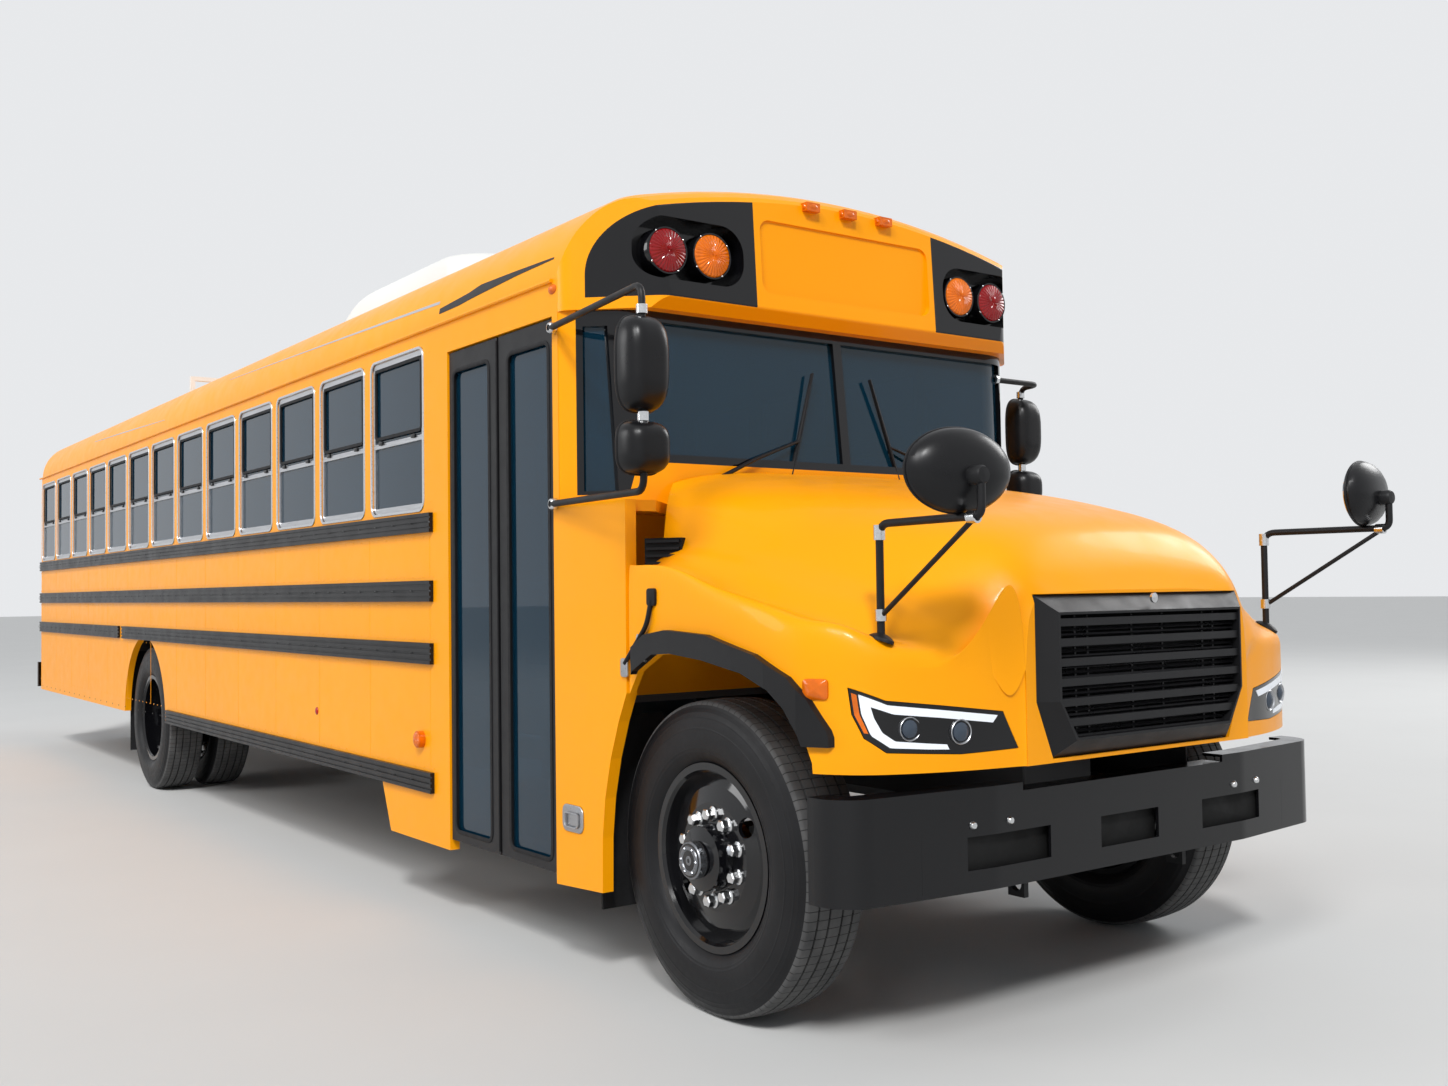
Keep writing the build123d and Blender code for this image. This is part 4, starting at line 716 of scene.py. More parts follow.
def mirrorHead(centre, half, steps=72):
    # rim, and a shell whose squarish rings shrink towards its front by 0.35 + 0.65 (1 - t^2.4)^0.45
    a, b = ovalPoints(np.linspace(0, 2 * math.pi, steps, endpoint=False), half, mirrorFacts["square"])
    t = np.array([0, 0.12, 0.3, 0.5, 0.68, 0.82, 0.92, 0.98, 1.0])[:, None]
    scale = 0.35 + 0.65 * np.maximum((1 - t ** 2.4) ** 0.45, 0.02)
    forward = np.broadcast_to(t * mirrorFacts["depth"], (len(t), steps))
    rim = np.stack([np.zeros(steps), a * 0.985, b * 0.985], -1)
    return (loftRings(np.stack([forward, a * scale, b * scale], -1) + centre),
            closedTube(rim + centre, mirrorFacts["rim"]))


def clamp(place, axis, radius=0.0195, length=0.030):
    # collar round a mirror's tube
    half, bore = length / 2, 0.012
    profile = [(-half, bore), (-half, radius), (half, radius), (half, bore)]
    return turned(profile, place, axis, sides=24, closed=True)


mirrorLooks = {"Heads": "satinBlack", "Rims": "trimBlack", "Panes": "mirrorGlass",
               "MirrorTubes": "trimBlack", "MirrorClamps": "brightSteel"}
sideParts, crossParts = {name: [] for name in mirrorLooks}, {name: [] for name in mirrorLooks}
for mirror in sideMirrors.values():
    x, y, path = mirror["x"], mirror["y"], mirror["tube"]
    for z, halfHeight in mirrorFacts["heads"]:
        shell, rim = mirrorHead(np.array((x, y, z)), (mirrorFacts["halfWidth"], halfHeight))
        sideParts["Heads"].append(shell)
        sideParts["Rims"].append(rim)
        paneHalf = np.array((mirrorFacts["halfWidth"], halfHeight)) - mirrorFacts["paneInset"]
        sideParts["Panes"].append(lens((x + 0.001, y, z), (-1, 0, 0), (0, 0, 1), paneHalf, mirrorFacts["paneBulge"],
                                       power=mirrorFacts["square"]))
    line = rounded(path, [0] + [mirrorFacts["tubeBend"]] * (len(path) - 2) + [0])
    sideParts["MirrorTubes"].append(tube(line, mirrorFacts["tubeRadius"], 16, up=(0.31, 0.9, 0.2)))
    tubeX = path[len(path) // 2][0]
    sideParts["MirrorClamps"] += [clamp((tubeX, y, z), (0, 0, 1)) for z in mirrorFacts["clampHeights"]]
    out = (0, math.copysign(1, y), 0)
    sideParts["MirrorClamps"] += [turned(mirrorFacts["foot"], spot, out, sides=28, closed=True)
                                  for spot in (path[0], path[-1])]

# mirrors on the hood's nose: bowl rows are (forward, half width, half height)
crossFacts = {
    "post": (behind(0.140), 0.995), "bar": (behind(-0.322), 1.050), "strutEnd": (behind(-0.290), 1.048),
    "foot": 1.190, "barHeight": 1.606, "barTop": 1.700, "strutFoot": 1.330, "strutTop": 1.598,
    "tube": 0.012, "strut": 0.0078, "clamp": 0.018,
    "middle": (1.046, 1.734), "reach": 0.304, "turn": 10, "sides": 64,
    "bowl": ((-0.018, 0.166, 0.113), (-0.010, 0.171, 0.117), (0.0, 0.172, 0.117), (0.016, 0.162, 0.110),
             (0.030, 0.142, 0.097), (0.042, 0.116, 0.079), (0.051, 0.084, 0.057), (0.0565, 0.044, 0.030),
             (0.058, 0.005, 0.003)),
    "rim": (-0.012, 0.1715, 0.1165), "rimRadius": 0.0045, "paneBack": -0.018, "paneHalf": (0.163, 0.110),
    "knuckle": [(-0.040, 0.001), (-0.040, 0.027), (0.004, 0.027), (0.012, 0.022), (0.014, 0.001)],
}
angle = np.linspace(0, 2 * math.pi, crossFacts["sides"], endpoint=False)


def ovalRings(rows):
    # one ellipse about the x axis for each row (forward, half width, half height)
    x, halfWidth, halfHeight = np.array(rows).T[:, :, None]
    return np.stack([x + 0 * angle, halfWidth * np.cos(angle), halfHeight * np.sin(angle)], -1)


for sign in (1, -1):
    post, bar, strutEnd = ((crossFacts[name][0], sign * crossFacts[name][1]) for name in ("post", "bar", "strutEnd"))
    path = [(*post, crossFacts["foot"]), (*post, crossFacts["barHeight"]), (*bar, crossFacts["barHeight"]),
            (*bar, crossFacts["barTop"])]
    foot = hoodSkin.ray_cast((*post, 2.0), (0, 0, -1))
    crossParts["MirrorTubes"] += [
        tube(rounded(path, [0, 0.045, 0.030, 0], 8), crossFacts["tube"], 16, up=(0.28, 0.95, 0.1)),
        tube([(*post, crossFacts["strutFoot"]), (*strutEnd, crossFacts["strutTop"])], crossFacts["strut"], 12),
        turned(crossFacts["knuckle"], (*bar, crossFacts["barTop"] + 0.015), (1, 0, 0), sides=28, caps=True),
        lens(foot[0], foot[1], (1, 0, 0), (0.030, 0.048), 0.020, sides=40)]
    crossParts["MirrorClamps"] += [
        clamp((*post, 1.580), (0, 0, 1), crossFacts["clamp"], 0.045),
        clamp((*post, 1.335), (0, 0, 1), crossFacts["clamp"], 0.035),
        clamp((*strutEnd, 1.604), (1, 0, 0), crossFacts["clamp"], 0.030)]
    turn = math.radians(sign * crossFacts["turn"])
    spin = np.array([[math.cos(turn), -math.sin(turn), 0], [math.sin(turn), math.cos(turn), 0], [0, 0, 1]])
    bowl, rim = ovalRings(crossFacts["bowl"]) @ spin.T, ovalRings([crossFacts["rim"]])[0] @ spin.T
    y, z = crossFacts["middle"]
    shift = np.array([front + crossFacts["reach"] - bowl[..., 0].max(), sign * y, z])
    crossParts["Heads"].append(loftRings(bowl + shift))
    crossParts["Rims"].append(closedTube(rim + shift, crossFacts["rimRadius"]))
    crossParts["Panes"].append(lens(spin @ (crossFacts["paneBack"], 0, 0) + shift, spin @ (-1.0, 0, 0), (0, 0, 1),
                                    crossFacts["paneHalf"], 0.020))
for name, look in mirrorLooks.items():
    for prefix, parts, body, node in (("side", sideParts, "bus", "side_mirrors"),
                                      ("cross", crossParts, "hood", "crossview_mirrors")):
        made = piece(prefix + name, parts[name], finishes[look], body)
        if name == "Heads":
            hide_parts(node)
print("mirrors ready")

windows = {
    "count": 13, "first": 2.900, "pitch": 0.700, "width": 0.600, "low": 1.800, "high": 2.530, "split": 0.45,
    "gasketOver": 0.012, "gasketWidth": 0.013, "gasketOut": 1.2195, "gasketCorner": 0.055,
    "sashInset": (0.026, 0.028), "sashWidth": 0.016, "sashOut": 1.2105, "sashCorner": 0.028, "latchOffset": 0.19,
}


def flatRing(x, z, half, wide, y, sign, depth, corner):
    # flat rounded frame on the side of the body, lofted through (outline, height above y)
    outer = superOutline(half[0], half[1], corner, 7)
    inner = superOutline(half[0] - wide, half[1] - wide, max(corner - wide, 0.004), 7)
    lines = [(outer, -0.002), (outer, depth - 0.002), (outer * 0.997, depth), (inner * 1.003, depth),
             (inner, depth - 0.002), (inner, -0.002), (outer, -0.002)]
    rings = [np.stack([x + flat[:, 0], np.full(len(flat), sign * (y + out)), z + flat[:, 1]], -1)
             for flat, out in lines]
    return loftRings(rings, False, False)


gaskets, sashes, latches = [], [], []
low, high, halfX = windows["low"], windows["high"], windows["width"] / 2
splitZ = low + windows["split"] * (high - low)
gasketHalf = (halfX + windows["gasketOver"], (high - low) / 2 + windows["gasketOver"])
sashHalf = (halfX - windows["sashInset"][0], (high - splitZ) / 2 - windows["sashInset"][1])
for sign in (1, -1):
    for k in range(windows["count"]):
        x = behind(windows["first"] + k * windows["pitch"] + halfX)
        gaskets.append(flatRing(x, (low + high) / 2, gasketHalf, windows["gasketWidth"], windows["gasketOut"], sign,
                                0.005, windows["gasketCorner"]))
        sashes.append(flatRing(x, (splitZ + high) / 2, sashHalf, windows["sashWidth"], windows["sashOut"], sign,
                               0.006, windows["sashCorner"]))
        latches += [softBlock((x + offset, sign * 1.218, splitZ + 0.012), (0.045, 0.010, 0.018), 0.006, 0.002, axis=1)
                    for offset in (-windows["latchOffset"], windows["latchOffset"])]
piece("windowGaskets", gaskets, finishes["frameSilver"], "bus")
piece("windowSashes", sashes, finishes["gasket"], "bus")
piece("windowLatches", latches, finishes["satinBlack"], "bus")

# rivets, rail bolts, gutter and panel seams: heights along the whole side
sideFacts = {
    "rivets": (2.612, 1.670, 1.494, 1.364, 1.216, 1.086, 0.644), "rivetPitch": 0.105, "rivet": (0.0046, 0.0016),
    "postHeights": np.linspace(1.83, 2.50, 6), "postOffset": 0.022,
    "bolts": (1.735, 1.429, 1.151, 0.581), "boltPitch": 0.21, "bolt": (0.0055, 0.0018),
    "seams": ((0.640, 1.090), (1.212, 1.368), (1.490, 1.680)),
    "gutter": np.array([(0, -0.002), (0.012, -0.002), (0.016, 0.004), (0.014, 0.010), (0, 0.014)]),
}
sideStart, sideEnd = behind(2.80), bodyRear + 0.10
firstPost = windows["first"] - (windows["pitch"] - windows["width"]) / 2
postPlaces = [behind(firstPost + k * windows["pitch"]) for k in range(windows["count"] + 1)]
seams = []
for sign, sideName in ((1, "Left"), (-1, "Right")):
    heights = sideFacts["postHeights"]
    rivets = [row(sideStart, sideEnd, sideFacts["rivetPitch"], sign * bodyHalf, z) for z in sideFacts["rivets"]]
    rivets += [np.stack([np.full(6, x + offset), np.full(6, sign * bodyHalf), heights], -1)
               for x in postPlaces for offset in (-sideFacts["postOffset"], sideFacts["postOffset"])]
    bolts = [row(sideStart, sideEnd, sideFacts["boltPitch"], sign * 1.2402, z) for z in sideFacts["bolts"]]
    piece("bodyRivets" + sideName, [dots(np.concatenate(rivets), (0, sign, 0), *sideFacts["rivet"])],
          finishes["yellowPaint"], "bus")
    piece("railBolts" + sideName, [dots(np.concatenate(bolts), (0, sign, 0), *sideFacts["bolt"])],
          finishes["railBlack"], "bus")
    out, up = sideFacts["gutter"].T
    gutterEnds = [np.stack([np.full(5, x), sign * (1.2185 + out), 2.600 + up], -1)
                  for x in (behind(1.70), bodyRear + 0.05)]
    seams.append(loftRings(gutterEnds))
    seams += [softBlock((x + 0.012, sign * 1.2196, (low + high) / 2), (0.0024, 0.0026, high - low), 0.0005, 0.0005, 2,
                        axis=1) for x in postPlaces for low, high in sideFacts["seams"]]
piece("gutterAndSeams", seams, finishes["yellowPaint"], "bus")
print("sides ready")

doorFacts = {
    "panes": {"door_rear_half": (2.598, 2.259), "door_front_half": (2.092, 1.753)}, "low": 0.398, "high": 2.380,
    "sealOver": 0.010, "sealWidth": 0.018, "sealOut": 1.211, "meeting": 2.1755,
}
doorMiddle, doorHalf = (doorFacts["low"] + doorFacts["high"]) / 2, (doorFacts["high"] - doorFacts["low"]) / 2
for body, (start, end) in doorFacts["panes"].items():
    half = ((start - end) / 2 + doorFacts["sealOver"], doorHalf + doorFacts["sealOver"])
    seal = flatRing(behind((start + end) / 2), doorMiddle, half, doorFacts["sealWidth"], doorFacts["sealOut"], -1,
                    0.004, 0.045)
    piece("doorSeal_" + body, [seal], finishes["gasket"], body)
edgeSeal = softBlock((behind(doorFacts["meeting"]) - 0.010, -1.2135, 1.41), (0.010, 0.010, 2.08), 0.003, 0.002)
piece("doorEdgeSeal", [edgeSeal], finishes["gasket"], "door_rear_half")

# pull ring of the side latch: (distance behind the front, z)
latchLoop = ((1.53, 0.60), (1.53, 0.548), (1.625, 0.548), (1.625, 0.60), (1.53, 0.60))
latchRing = [(behind(distance), -1.232, z) for distance, z in latchLoop]
piece("sideLatch", [softBlock((behind(1.577), -1.2225, 0.580), (0.150, 0.008, 0.100), 0.030, 0.003, axis=1),
                    tube(rounded(latchRing, [0, 0.02, 0.02, 0.02, 0]), 0.004, 10, up=(0, 1, 0))],
      finishes["satinSteel"], "bus")

# rear: lamps are (z, radius) on both sides, and pane corners are (distance from the middle, z)
rearFacts = {
    "barHeights": (2.352, 1.678, 1.582, 1.178), "barSize": (0.012, 0.72, 0.02),
    "handle": (-0.400, 1.640), "handleReach": 0.140, "handleRadius": 0.009,
    "plate": (0.760, 0.980), "plateSize": (0.006, 0.310, 0.160),
    "lamps": ((1.520, 0.088), (1.340, 0.060), (1.180, 0.060)), "lampOffset": 0.960,
    "lampRim": ((-0.004, -0.006), (-0.004, 0.004), (0.004, 0.003), (0.005, -0.004), (0.003, -0.007)),
    "paneCorners": ((0.56, 1.65), (1.04, 1.65), (1.04, 2.38), (0.56, 2.38), (0.56, 1.65)), "paneSeal": 0.010,
}
exitBars = [softBlock((bodyRear - 0.014, 0, z), rearFacts["barSize"], 0.004, 0.002, axis=0)
            for z in rearFacts["barHeights"]]
piece("rearExitTrim", exitBars, finishes["gasket"], "rear_exit")
y, z = rearFacts["handle"]
lever = [(bodyRear - 0.030, y, z), (bodyRear - 0.055, y, z), (bodyRear - 0.055, y + rearFacts["handleReach"], z)]
piece("rearExitHandle", [softBlock((bodyRear - 0.020, y, z), (0.014, 0.060, 0.120), 0.012, 0.003, axis=0),
                         tube(rounded(lever, [0, 0.015, 0]), rearFacts["handleRadius"], 12)],
      finishes["satinBlack"], "rear_exit")
plate = softBlock((bodyRear - 0.008, *rearFacts["plate"]), rearFacts["plateSize"], 0.014, 0.001, axis=0)
piece("blankPlate", [plate], finishes["whitePlastic"], "bus")
lampOffset, lampRim = rearFacts["lampOffset"], np.array(rearFacts["lampRim"])
tailRims = [turned(lampRim + (0, radius), (bodyRear - 0.022, sign * lampOffset, z), (-1, 0, 0), sides=56, closed=True)
            for sign in (1, -1) for z, radius in rearFacts["lamps"]]
piece("tailRims", tailRims, finishes["satinBlack"], "bus")
for sign, sideName in ((1, "Left"), (-1, "Right")):
    line = rounded([(bodyRear - 0.006, sign * y, z) for y, z in rearFacts["paneCorners"]], [0, 0.05, 0.05, 0.05, 0])
    piece("rearPaneSeal" + sideName, [tube(line, rearFacts["paneSeal"], 10, up=(1, 0, 0))], finishes["gasket"], "bus")
print("door and rear ready")

# grille: thin slats between the bars, uprights behind them and a dark screen on the radiator side
grille = {
    "foot": behind(-0.012), "face": behind(-0.090), "low": 0.915, "high": 1.345, "slats": 27,
    "halfWidth": 0.470, "narrowBelow": 1.060, "narrowing": 0.40, "uprights": (-0.36, -0.30, -0.08, 0.08, 0.30, 0.36),
    "slatProfile": np.array([(0.0, -0.0035), (0.012, -0.0055), (0.016, -0.001), (0.012, 0.0045), (0.0, 0.0035)]),
}


def grilleHalf(z):
    # half width of the opening: straight above narrowBelow, drawing in under it
    return grille["halfWidth"] - np.maximum(grille["narrowBelow"] - z, 0) * grille["narrowing"]


slats = []
ahead, up = grille["slatProfile"].T
for z in np.linspace(grille["low"], grille["high"], grille["slats"]):
    slats.append(loftRings([np.stack([grille["face"] - 0.040 + ahead, np.full(5, side * grilleHalf(z)), z + up], -1)
                            for side in (-1, 1)]))
slats += [softBlock((grille["face"] - 0.036, y, 1.13), (0.010, 0.008, 0.430), 0.002, 0.001, 2)
          for y in grille["uprights"]]
piece("grilleSlats", slats, finishes["satinBlack"], "hood", smoothAngle=40)
screenZ = np.linspace(0.900, 1.360, 6)
screenLines = [np.stack([np.full(6, grille["foot"] + depth), side * (grilleHalf(screenZ) + 0.01), screenZ], -1)
               for side, depth in ((-1, 0.006), (1, 0.006), (1, 0.0), (-1, 0.0))]
piece("grilleScreen", [loftRings(np.stack(screenLines, axis=1))], finishes["screenBlack"], "hood")
lock = turned([(-0.004, 0.001), (-0.004, 0.016), (0.004, 0.016), (0.006, 0.012), (0.006, 0.001)],
              (behind(-0.088), 0, 1.372), (1, 0, 0), sides=28, caps=True)
piece("hoodLock", [lock], finishes["brightSteel"], "hood")

# bumper: dark plates behind its openings, given as (middle y, middle z, width), and bolts on its face
bumperFacts = {
    "plates": ((0.56, 0.600, 0.74), (-0.56, 0.600, 0.74), (0, 0.590, 0.34)), "boltPlaces": (0.734, 0.582),
    "bolt": [(-0.004, 0.001), (-0.004, 0.013), (0.004, 0.013), (0.010, 0.009), (0.011, 0.001)],
}
nodes["front_bumper"].data.materials[0] = finishes["bumperBlack"]
bumperSkin = skinOf("front_bumper")
backing = [softBlock((behind(0.060), y, z), (0.010, width, 0.190), 0.01, 0.002, axis=0)
           for y, z, width in bumperFacts["plates"]]
piece("bumperBacking", backing, finishes["screenBlack"], "bus")
hits = [bumperSkin.ray_cast((front + 0.5, sign * y, 0.700), (-1, 0, 0))
        for sign in (1, -1) for y in bumperFacts["boltPlaces"]]
piece("bumperBolts", [turned(bumperFacts["bolt"], hit[0], hit[1], sides=24, caps=True) for hit in hits],
      finishes["brightSteel"], "bus")
print("grille and bumper ready")

# hood vents: upright boxes between two edges, each (distance behind the front, distance from the middle)
vent = {
    "rearEdge": (1.200, 1.136), "frontEdge": (1.085, 1.055), "low": 1.400, "high": 1.602, "deep": 0.110,
    "slats": 8, "slatHalf": 0.0045, "slatInset": 0.008, "sillInset": 0.0018,
}


def ventBox(sign, near, far, low, high, inset=0.0):
    # upright box whose outer face lies near out from the line between the edges, and its back far out
    start, end = (np.array([front - s, y]) for s, y in (vent["rearEdge"], vent["frontEdge"]))
    along = unit(end - start)
    start, end = start + along * inset, end - along * inset
    out = np.array([along[1], -along[0]]) * (1 if along[0] < 0 else -1)
    corners = [start + out * near, end + out * near, end + out * far, start + out * far]
    return loftRings([[(p[0], sign * p[1], z) for p in corners] for z in (low, high)])


vents, ventBars = [], []
for sign in (1, -1):
    vents.append(ventBox(sign, 0.006, -vent["deep"], vent["low"], vent["high"]))
    ventBars += [ventBox(sign, 0.016, 0.004, z - vent["slatHalf"], z + vent["slatHalf"], vent["slatInset"])
                 for z in np.linspace(vent["low"] + 0.012, vent["high"] - 0.012, vent["slats"])]
    ventBars.append(ventBox(sign, 0.014, 0.004, vent["low"] + 0.002, vent["low"] + 0.008, vent["sillInset"]))
piece("hoodVents", vents, finishes["screenBlack"], "hood", smoothAngle=30)
piece("hoodVentBars", ventBars, finishes["satinBlack"], "hood", smoothAngle=30)

# rubber straps that hold the hood and their catches on the body: (distance behind the front, y, z)
strapFacts = {
    "strap": ((1.035, 1.222, 1.385), (1.050, 1.232, 1.300), (1.200, 1.226, 1.165)),
    "hook": ((1.112, 1.226, 1.268), (1.118, 1.236, 1.215), (1.052, 1.236, 1.178)),
}
straps, catches = [], []
for sign in (1, -1):
    strap, hook = ([(behind(distance), sign * y, z) for distance, y, z in strapFacts[name]]
                   for name in ("strap", "hook"))
    straps.append(tube(rounded(strap, [0, 0.03, 0]), 0.0085, 12, up=(0, 1, 0)))
    straps.append(softBlock((behind(1.035), sign * 1.220, 1.395), (0.050, 0.014, 0.060), 0.012, 0.003, axis=1))
    catches.append(softBlock((behind(1.205), sign * 1.224, 1.150), (0.046, 0.010, 0.066), 0.012, 0.003, axis=1))
    catches.append(tube(rounded(hook, [0, 0.02, 0]), 0.0055, 10, up=(0, 1, 0)))
piece("hoodStraps", straps, finishes["gasket"], "hood")
piece("hoodCatches", catches, finishes["satinSteel"], "bus")

wiperFacts = {
    "pivot": (behind(1.375), 0.742, 1.820), "tip": (behind(1.424), 0.250, 2.015), "bladeHalf": 0.30,
    "cap": [(-0.03, 0.001), (-0.03, 0.020), (0.006, 0.020), (0.016, 0.012), (0.016, 0.001)],
}
wipers, wiperRubber = [], []
for sign in (1, -1):
    pivot, tip = (np.array(wiperFacts[name]) * (1, sign, 1) for name in ("pivot", "tip"))
    wipers.append(turned(wiperFacts["cap"], pivot, (1, 0, 0.4), sides=24, caps=True))
    elbow = (pivot + tip) / 2 + (0.022, 0, 0.012)
    wipers.append(tube([pivot + (0.008, 0, 0), elbow, tip + (0.010, 0, 0)], [0.0095, 0.0075, 0.006], 10))
    reach = unit(np.array((-0.030, -sign * 0.20, 0.62))) * wiperFacts["bladeHalf"]
    blade = np.array([tip - reach, tip, tip + reach])
    wipers.append(tube(blade + (0.008, 0, 0), [0.004, 0.008, 0.004], 8))
    wiperRubber.append(tube(blade - (0.002, 0, 0), 0.004, 8))
piece("wiperArms", wipers, finishes["satinBlack"], "bus")
piece("wiperRubber", wiperRubber, finishes["gasket"], "bus")
print("hood and wipers ready")

# marks on the roof's side: the black one is painted reflection, a dark treeline in the glossy roof edge drawn as a
# tapering black wedge, and the grey ones are thin grey lines; rows of (distance behind the front, low z, high z)
roofReflectionAndLineFacts = {
    # painted reflection: the dark treeline in the glossy roof edge, drawn on the paint as a black wedge
    "Black": {"look": "satinBlack", "rows": [
        [(1.62, 2.6925, 2.6955), (2.00, 2.684, 2.706), (2.336, 2.668, 2.712), (2.44, 2.662, 2.696),
         (2.52, 2.656, 2.690), (2.724, 2.652, 2.676)]]},
    "Grey": {"look": "markGrey", "rows": [
        [(2.743, 2.700, 2.714), (4.40, 2.748, 2.756), (5.994, 2.795, 2.799)],
        [(7.38, 2.686, 2.690), (8.60, 2.722, 2.732), (9.784, 2.758, 2.764)]]},
}
roofSkin = skinOf("roof_shell")
for colourName, roofMark in roofReflectionAndLineFacts.items():
    laid = []
    for rows, sign in [(rows, sign) for rows in roofMark["rows"] for sign in (1, -1)]:
        distance, low, high = np.array(rows).T
        at = np.linspace(distance[0], distance[-1], 40)
        top, foot = (np.stack([front - at, np.full(40, sign * 1.6), np.interp(at, distance, edge)], -1)
                     for edge in (high, low))
        laid.append(draped(roofSkin, between(top, foot, 40, 5), (0, -sign, 0), 0.0016, 0.002))
    piece("roofStripes" + colourName, laid, finishes[roofMark["look"]], "bus", smoothAngle=50)

# stop arm: white border lines are (radius, distance from its middle plane), and two lamps on each face
stopFacts = {
    "centre": (behind(2.700), 1.258, 1.590), "lampUp": 0.150, "lampRadius": 0.040,
    "border": ((0.222, 0.006), (0.222, 0.0075), (0.212, 0.0085), (0.204, 0.0075), (0.204, 0.006)),
}
x, y, z = stopFacts["centre"]
corner = (np.arange(8) + 0.5) * math.pi / 4
reach = 0.995 / math.cos(math.pi / 8)  # from the middle of an edge out to a corner, just inside the plate's own
borders, stopLamps = [], []
for side in (1, -1):
    rings = [np.stack([x + r * reach * np.cos(corner), np.full(8, y + side * d), z + r * reach * np.sin(corner)], -1)
             for r, d in stopFacts["border"]]
    borders.append(loftRings(rings + rings[:1], False, False))
    stopLamps += [lens((x, y + side * 0.008, z + up * stopFacts["lampUp"]), (0, side, 0), (0, 0, 1),
                       (stopFacts["lampRadius"],) * 2, 0.012, facets=16) for up in (1, -1)]
piece("stopArmBorder", borders, finishes["whitePlastic"], "stop_arm", smoothAngle=20)
piece("stopArmLamps", stopLamps, finishes["warnRed"], "stop_arm", smoothAngle=18)
print("stop arm ready")

seat = {
    "rows": 11, "first": 3.400, "pitch": 0.700, "inner": 0.165, "outer": 1.145, "cushionLow": 1.390,
    "cushionTop": 1.490, "backTop": 2.020, "corner": 0.045, "driver": 2.400,
    "driverCushion": ((0.040, 0.330, 1.400), (0.450, 0.830, 1.520)),
    "driverBack": ((-0.060, 0.330, 1.400), (0.040, 0.830, 2.130)),
}


def pad(low, high, crownAxis, crown):
    # closed pad in a box: rings shrink from the edge to the middle of each face, the face falls by
    # crown * (a^2 + b^2) / 2 towards its edges and rolls over by 28% in its last fifth
    low, high = np.asarray(low, float), np.asarray(high, float)
    centre, half = (low + high) / 2, (high - low) / 2
    across, along = (k for k in range(3) if k != crownAxis)
    ring = superOutline(half[across], half[along], seat["corner"], 12)
    shrink = np.array([0.0, 0.35, 0.62, 0.80, 0.90, 0.955, 0.985, 1.0])
    rings = []
    for side, scales in ((-1, shrink), (1, shrink[::-1])):
        flat = ring * scales[:, None, None]
        a, b = flat[..., 0] / half[across], flat[..., 1] / half[along]
        roll = 1 - 0.28 * np.clip((np.maximum(np.abs(a), np.abs(b)) - 0.80) / 0.20, 0, 1) ** 2
        swell = -crown * (np.clip(a ** 2, 0, 1) + np.clip(b ** 2, 0, 1)) * 0.5
        face = np.zeros((*a.shape, 3))
        face[..., across], face[..., along] = flat[..., 0], flat[..., 1]
        face[..., crownAxis] = side * (half[crownAxis] * roll + swell)
        rings.append(face)
    rings = np.concatenate(rings)
    for end in (0, -1):  # the middle ring of each face closes to almost a point
        rings[end] = rings[end] * 0.001 + rings[end].mean(0) * 0.999
    return loftRings(rings + centre)


cushions, backs = [], []
for k in range(seat["rows"]):
    x = behind(seat["first"] + k * seat["pitch"])
    for sign in (1, -1):
        ya, yb = sorted((sign * seat["inner"], sign * seat["outer"]))
        cushions.append(pad((x - 0.400, ya, seat["cushionLow"]), (x, yb, seat["cushionTop"]), 2, 0.014))
        backs.append(pad((x - 0.480, ya, seat["cushionLow"]), (x - 0.400, yb, seat["backTop"]), 0, 0.012))
driverPlace = np.array([behind(seat["driver"]), 0, 0])
cushions.append(pad(*(driverPlace + seat["driverCushion"]), 2, 0.020))
backs.append(pad(*(driverPlace + seat["driverBack"]), 0, 0.016))
for name, patches, node in (("seatCushionPads", cushions, "seat_cushions"), ("seatBackPads", backs, "seat_backs")):
    made = piece(name, patches, finishes["seatVinyl"], "bus", smoothAngle=60)
    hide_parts(node)
print("seats ready")

stageFacts = {"floor": (0.60, 0.60, 0.59), "floorRoughness": 0.7, "floorReach": 120,
              "worldLight": (0.50, 0.53, 0.57, 1), "backdrop": (1.34, 1.36, 1.39, 1), "worldStrength": 0.60}


def stageFinish(name, colour, roughness):
    # matt floor with a faint drift of tone
    f = Finish(name).set(Roughness=roughness)
    f.colour(f.ramp(f.noise(0.8, 3), [(0.3, shaded(colour, 0.985)), (0.7, shaded(colour, 1.01))]))
    f.bump(f.noise(60, 3), 0.08, 0.002)
    return f.material


reach = stageFacts["floorReach"]
floorMesh = bpy.data.meshes.new("floor")
floorMesh.from_pydata([(-reach, -reach, 0), (reach, -reach, 0), (reach, reach, 0), (-reach, reach, 0)], [],
                      [(0, 1, 2, 3)])
floorMesh.materials.append(stageFinish("floorPale", stageFacts["floor"], stageFacts["floorRoughness"]))
floor = bpy.data.objects.new("floor", floorMesh)
bpy.context.scene.collection.objects.link(floor)

world = bpy.data.worlds.new("studio")
bpy.context.scene.world = world
world.use_nodes = True
tree = world.node_tree
background = tree.nodes["Background"]
background.inputs["Strength"].default_value = stageFacts["worldStrength"]
sky = tree.nodes.new("ShaderNodeMix")
sky.data_type = "RGBA"
rays = tree.nodes.new("ShaderNodeLightPath")
sky.inputs["A"].default_value = stageFacts["worldLight"]
sky.inputs["B"].default_value = stageFacts["backdrop"]
seen = rays.outputs["Is Camera Ray"]
for rayName in ("Is Glossy Ray", "Is Transmission Ray"):  # the pale backdrop also shows in metal and glass
    either = tree.nodes.new("ShaderNodeMath")
    either.operation = "MAXIMUM"
    tree.links.new(seen, either.inputs[0])
    tree.links.new(rays.outputs[rayName], either.inputs[1])
    seen = either.outputs[0]
tree.links.new(seen, sky.inputs["Factor"])
tree.links.new(sky.outputs["Result"], background.inputs["Color"])


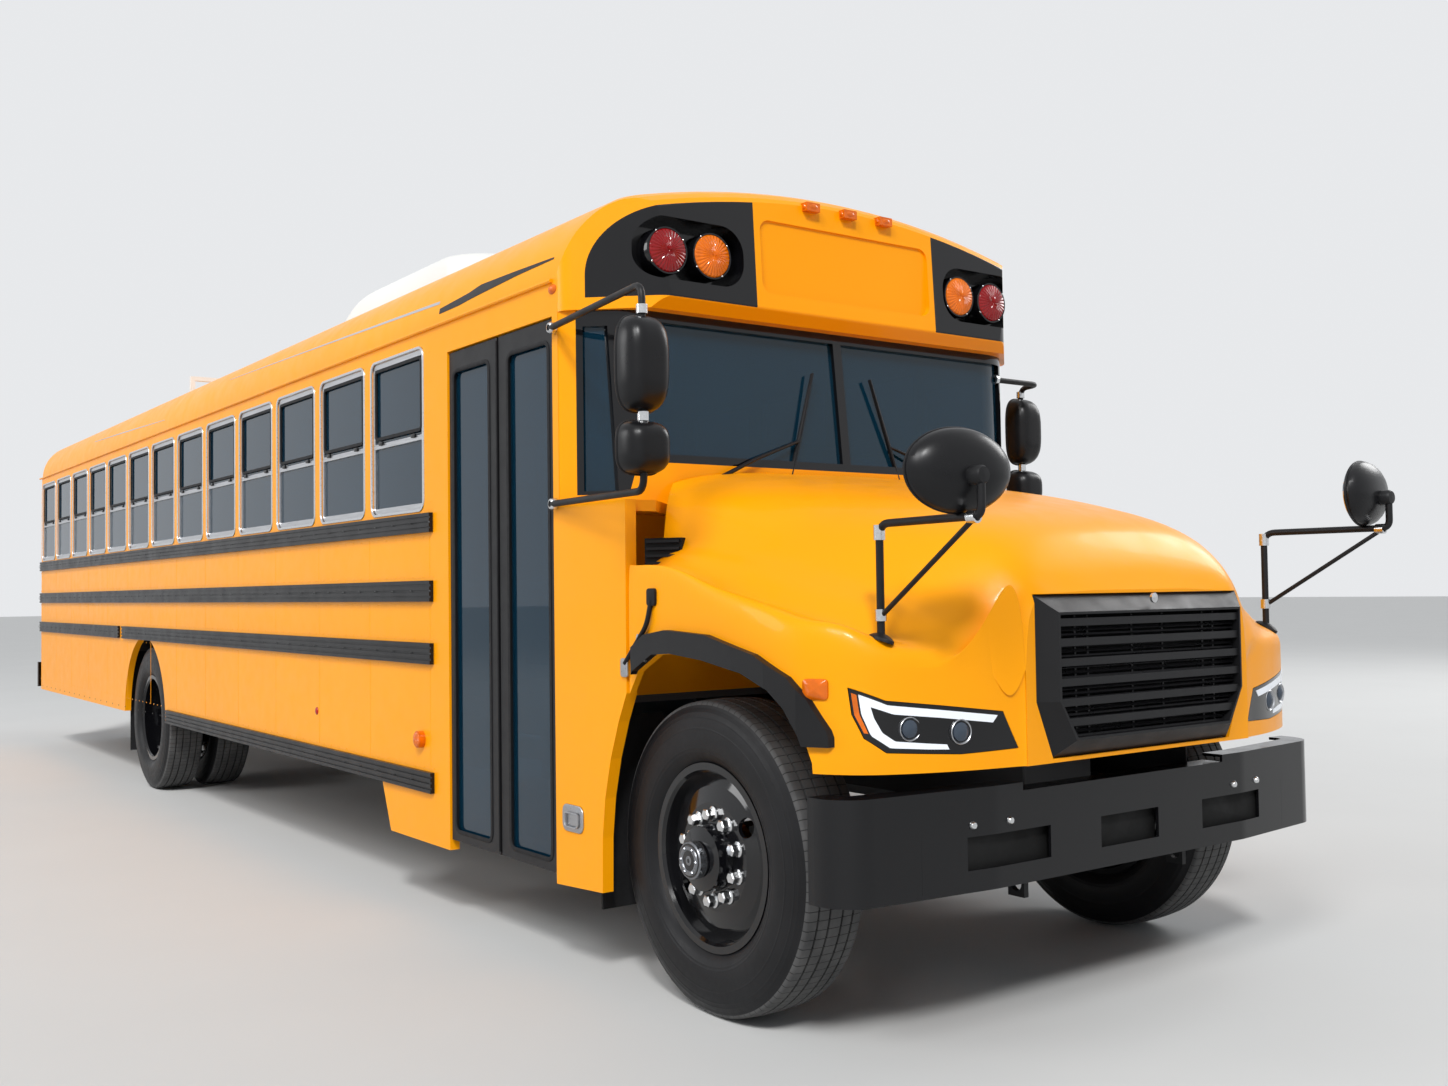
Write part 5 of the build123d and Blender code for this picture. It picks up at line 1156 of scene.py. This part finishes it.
def aimed(place, aim):
    # placement whose -Z looks from place to aim
    back = unit(np.asarray(place, float) - np.asarray(aim, float))
    right = unit(np.cross((0, 0, 1), back))
    placement = np.eye(4)
    placement[:3] = np.stack([right, np.cross(back, right), back, place], axis=1)
    return Matrix(placement.tolist())


lights = {
    "key": {"place": (14, -16, 16), "aim": (1, 0, 1), "size": 7, "power": 2100},
    "fill": {"place": (5, 19, 12), "aim": (2, 0, 1), "size": 9, "power": 1300},
    "side": {"place": (-6, -18, 9), "aim": (-2, 0, 1), "size": 9, "power": 1100},
}
for lightName, value in lights.items():
    lamp = bpy.data.lights.new(lightName, "AREA")
    lamp.shape, lamp.size, lamp.energy = "DISK", value["size"], value["power"]
    held = bpy.data.objects.new(lightName, lamp)
    held.matrix_world = aimed(value["place"], value["aim"])
    bpy.context.scene.collection.objects.link(held)

sunFacts = {"from": (0.60, -0.42, 0.70), "strength": 1.9, "angle": 9, "away": 30}
sun = bpy.data.lights.new("sun", "SUN")
sun.energy, sun.angle = sunFacts["strength"], math.radians(sunFacts["angle"])
sunHeld = bpy.data.objects.new("sun", sun)
sunHeld.matrix_world = aimed(np.array(sunFacts["from"]) * sunFacts["away"], (0, 0, 0))
bpy.context.scene.collection.objects.link(sunHeld)

cameraFacts = {"place": (8.7936, -3.7749, 1.4152), "yaw": 2.5091, "pitch": 0.0344, "roll": -0.0136,
               "lens": 34.09, "sensor": 36, "farthest": 500}
cosYaw, sinYaw = math.cos(cameraFacts["yaw"]), math.sin(cameraFacts["yaw"])
cosPitch, sinPitch = math.cos(cameraFacts["pitch"]), math.sin(cameraFacts["pitch"])
cosRoll, sinRoll = math.cos(cameraFacts["roll"]), math.sin(cameraFacts["roll"])
ahead = np.array([cosYaw * cosPitch, sinYaw * cosPitch, sinPitch])
levelRight = unit(np.cross(ahead, (0, 0, 1)))
levelUp = np.cross(levelRight, ahead)
cameraMatrix = np.eye(4)
cameraMatrix[:3] = np.stack([cosRoll * levelRight + sinRoll * levelUp, -sinRoll * levelRight + cosRoll * levelUp,
                             -ahead, cameraFacts["place"]], axis=1)
cameraData = bpy.data.cameras.new("viewCamera")
cameraData.lens, cameraData.sensor_width = cameraFacts["lens"], cameraFacts["sensor"]
cameraData.sensor_fit, cameraData.clip_end = "HORIZONTAL", cameraFacts["farthest"]
camera = bpy.data.objects.new("viewCamera", cameraData)
camera.matrix_world = Matrix(cameraMatrix.tolist())
bpy.context.scene.collection.objects.link(camera)
bpy.context.scene.camera = camera
bpy.context.scene.view_settings.view_transform = "Standard"
print("stage ready")
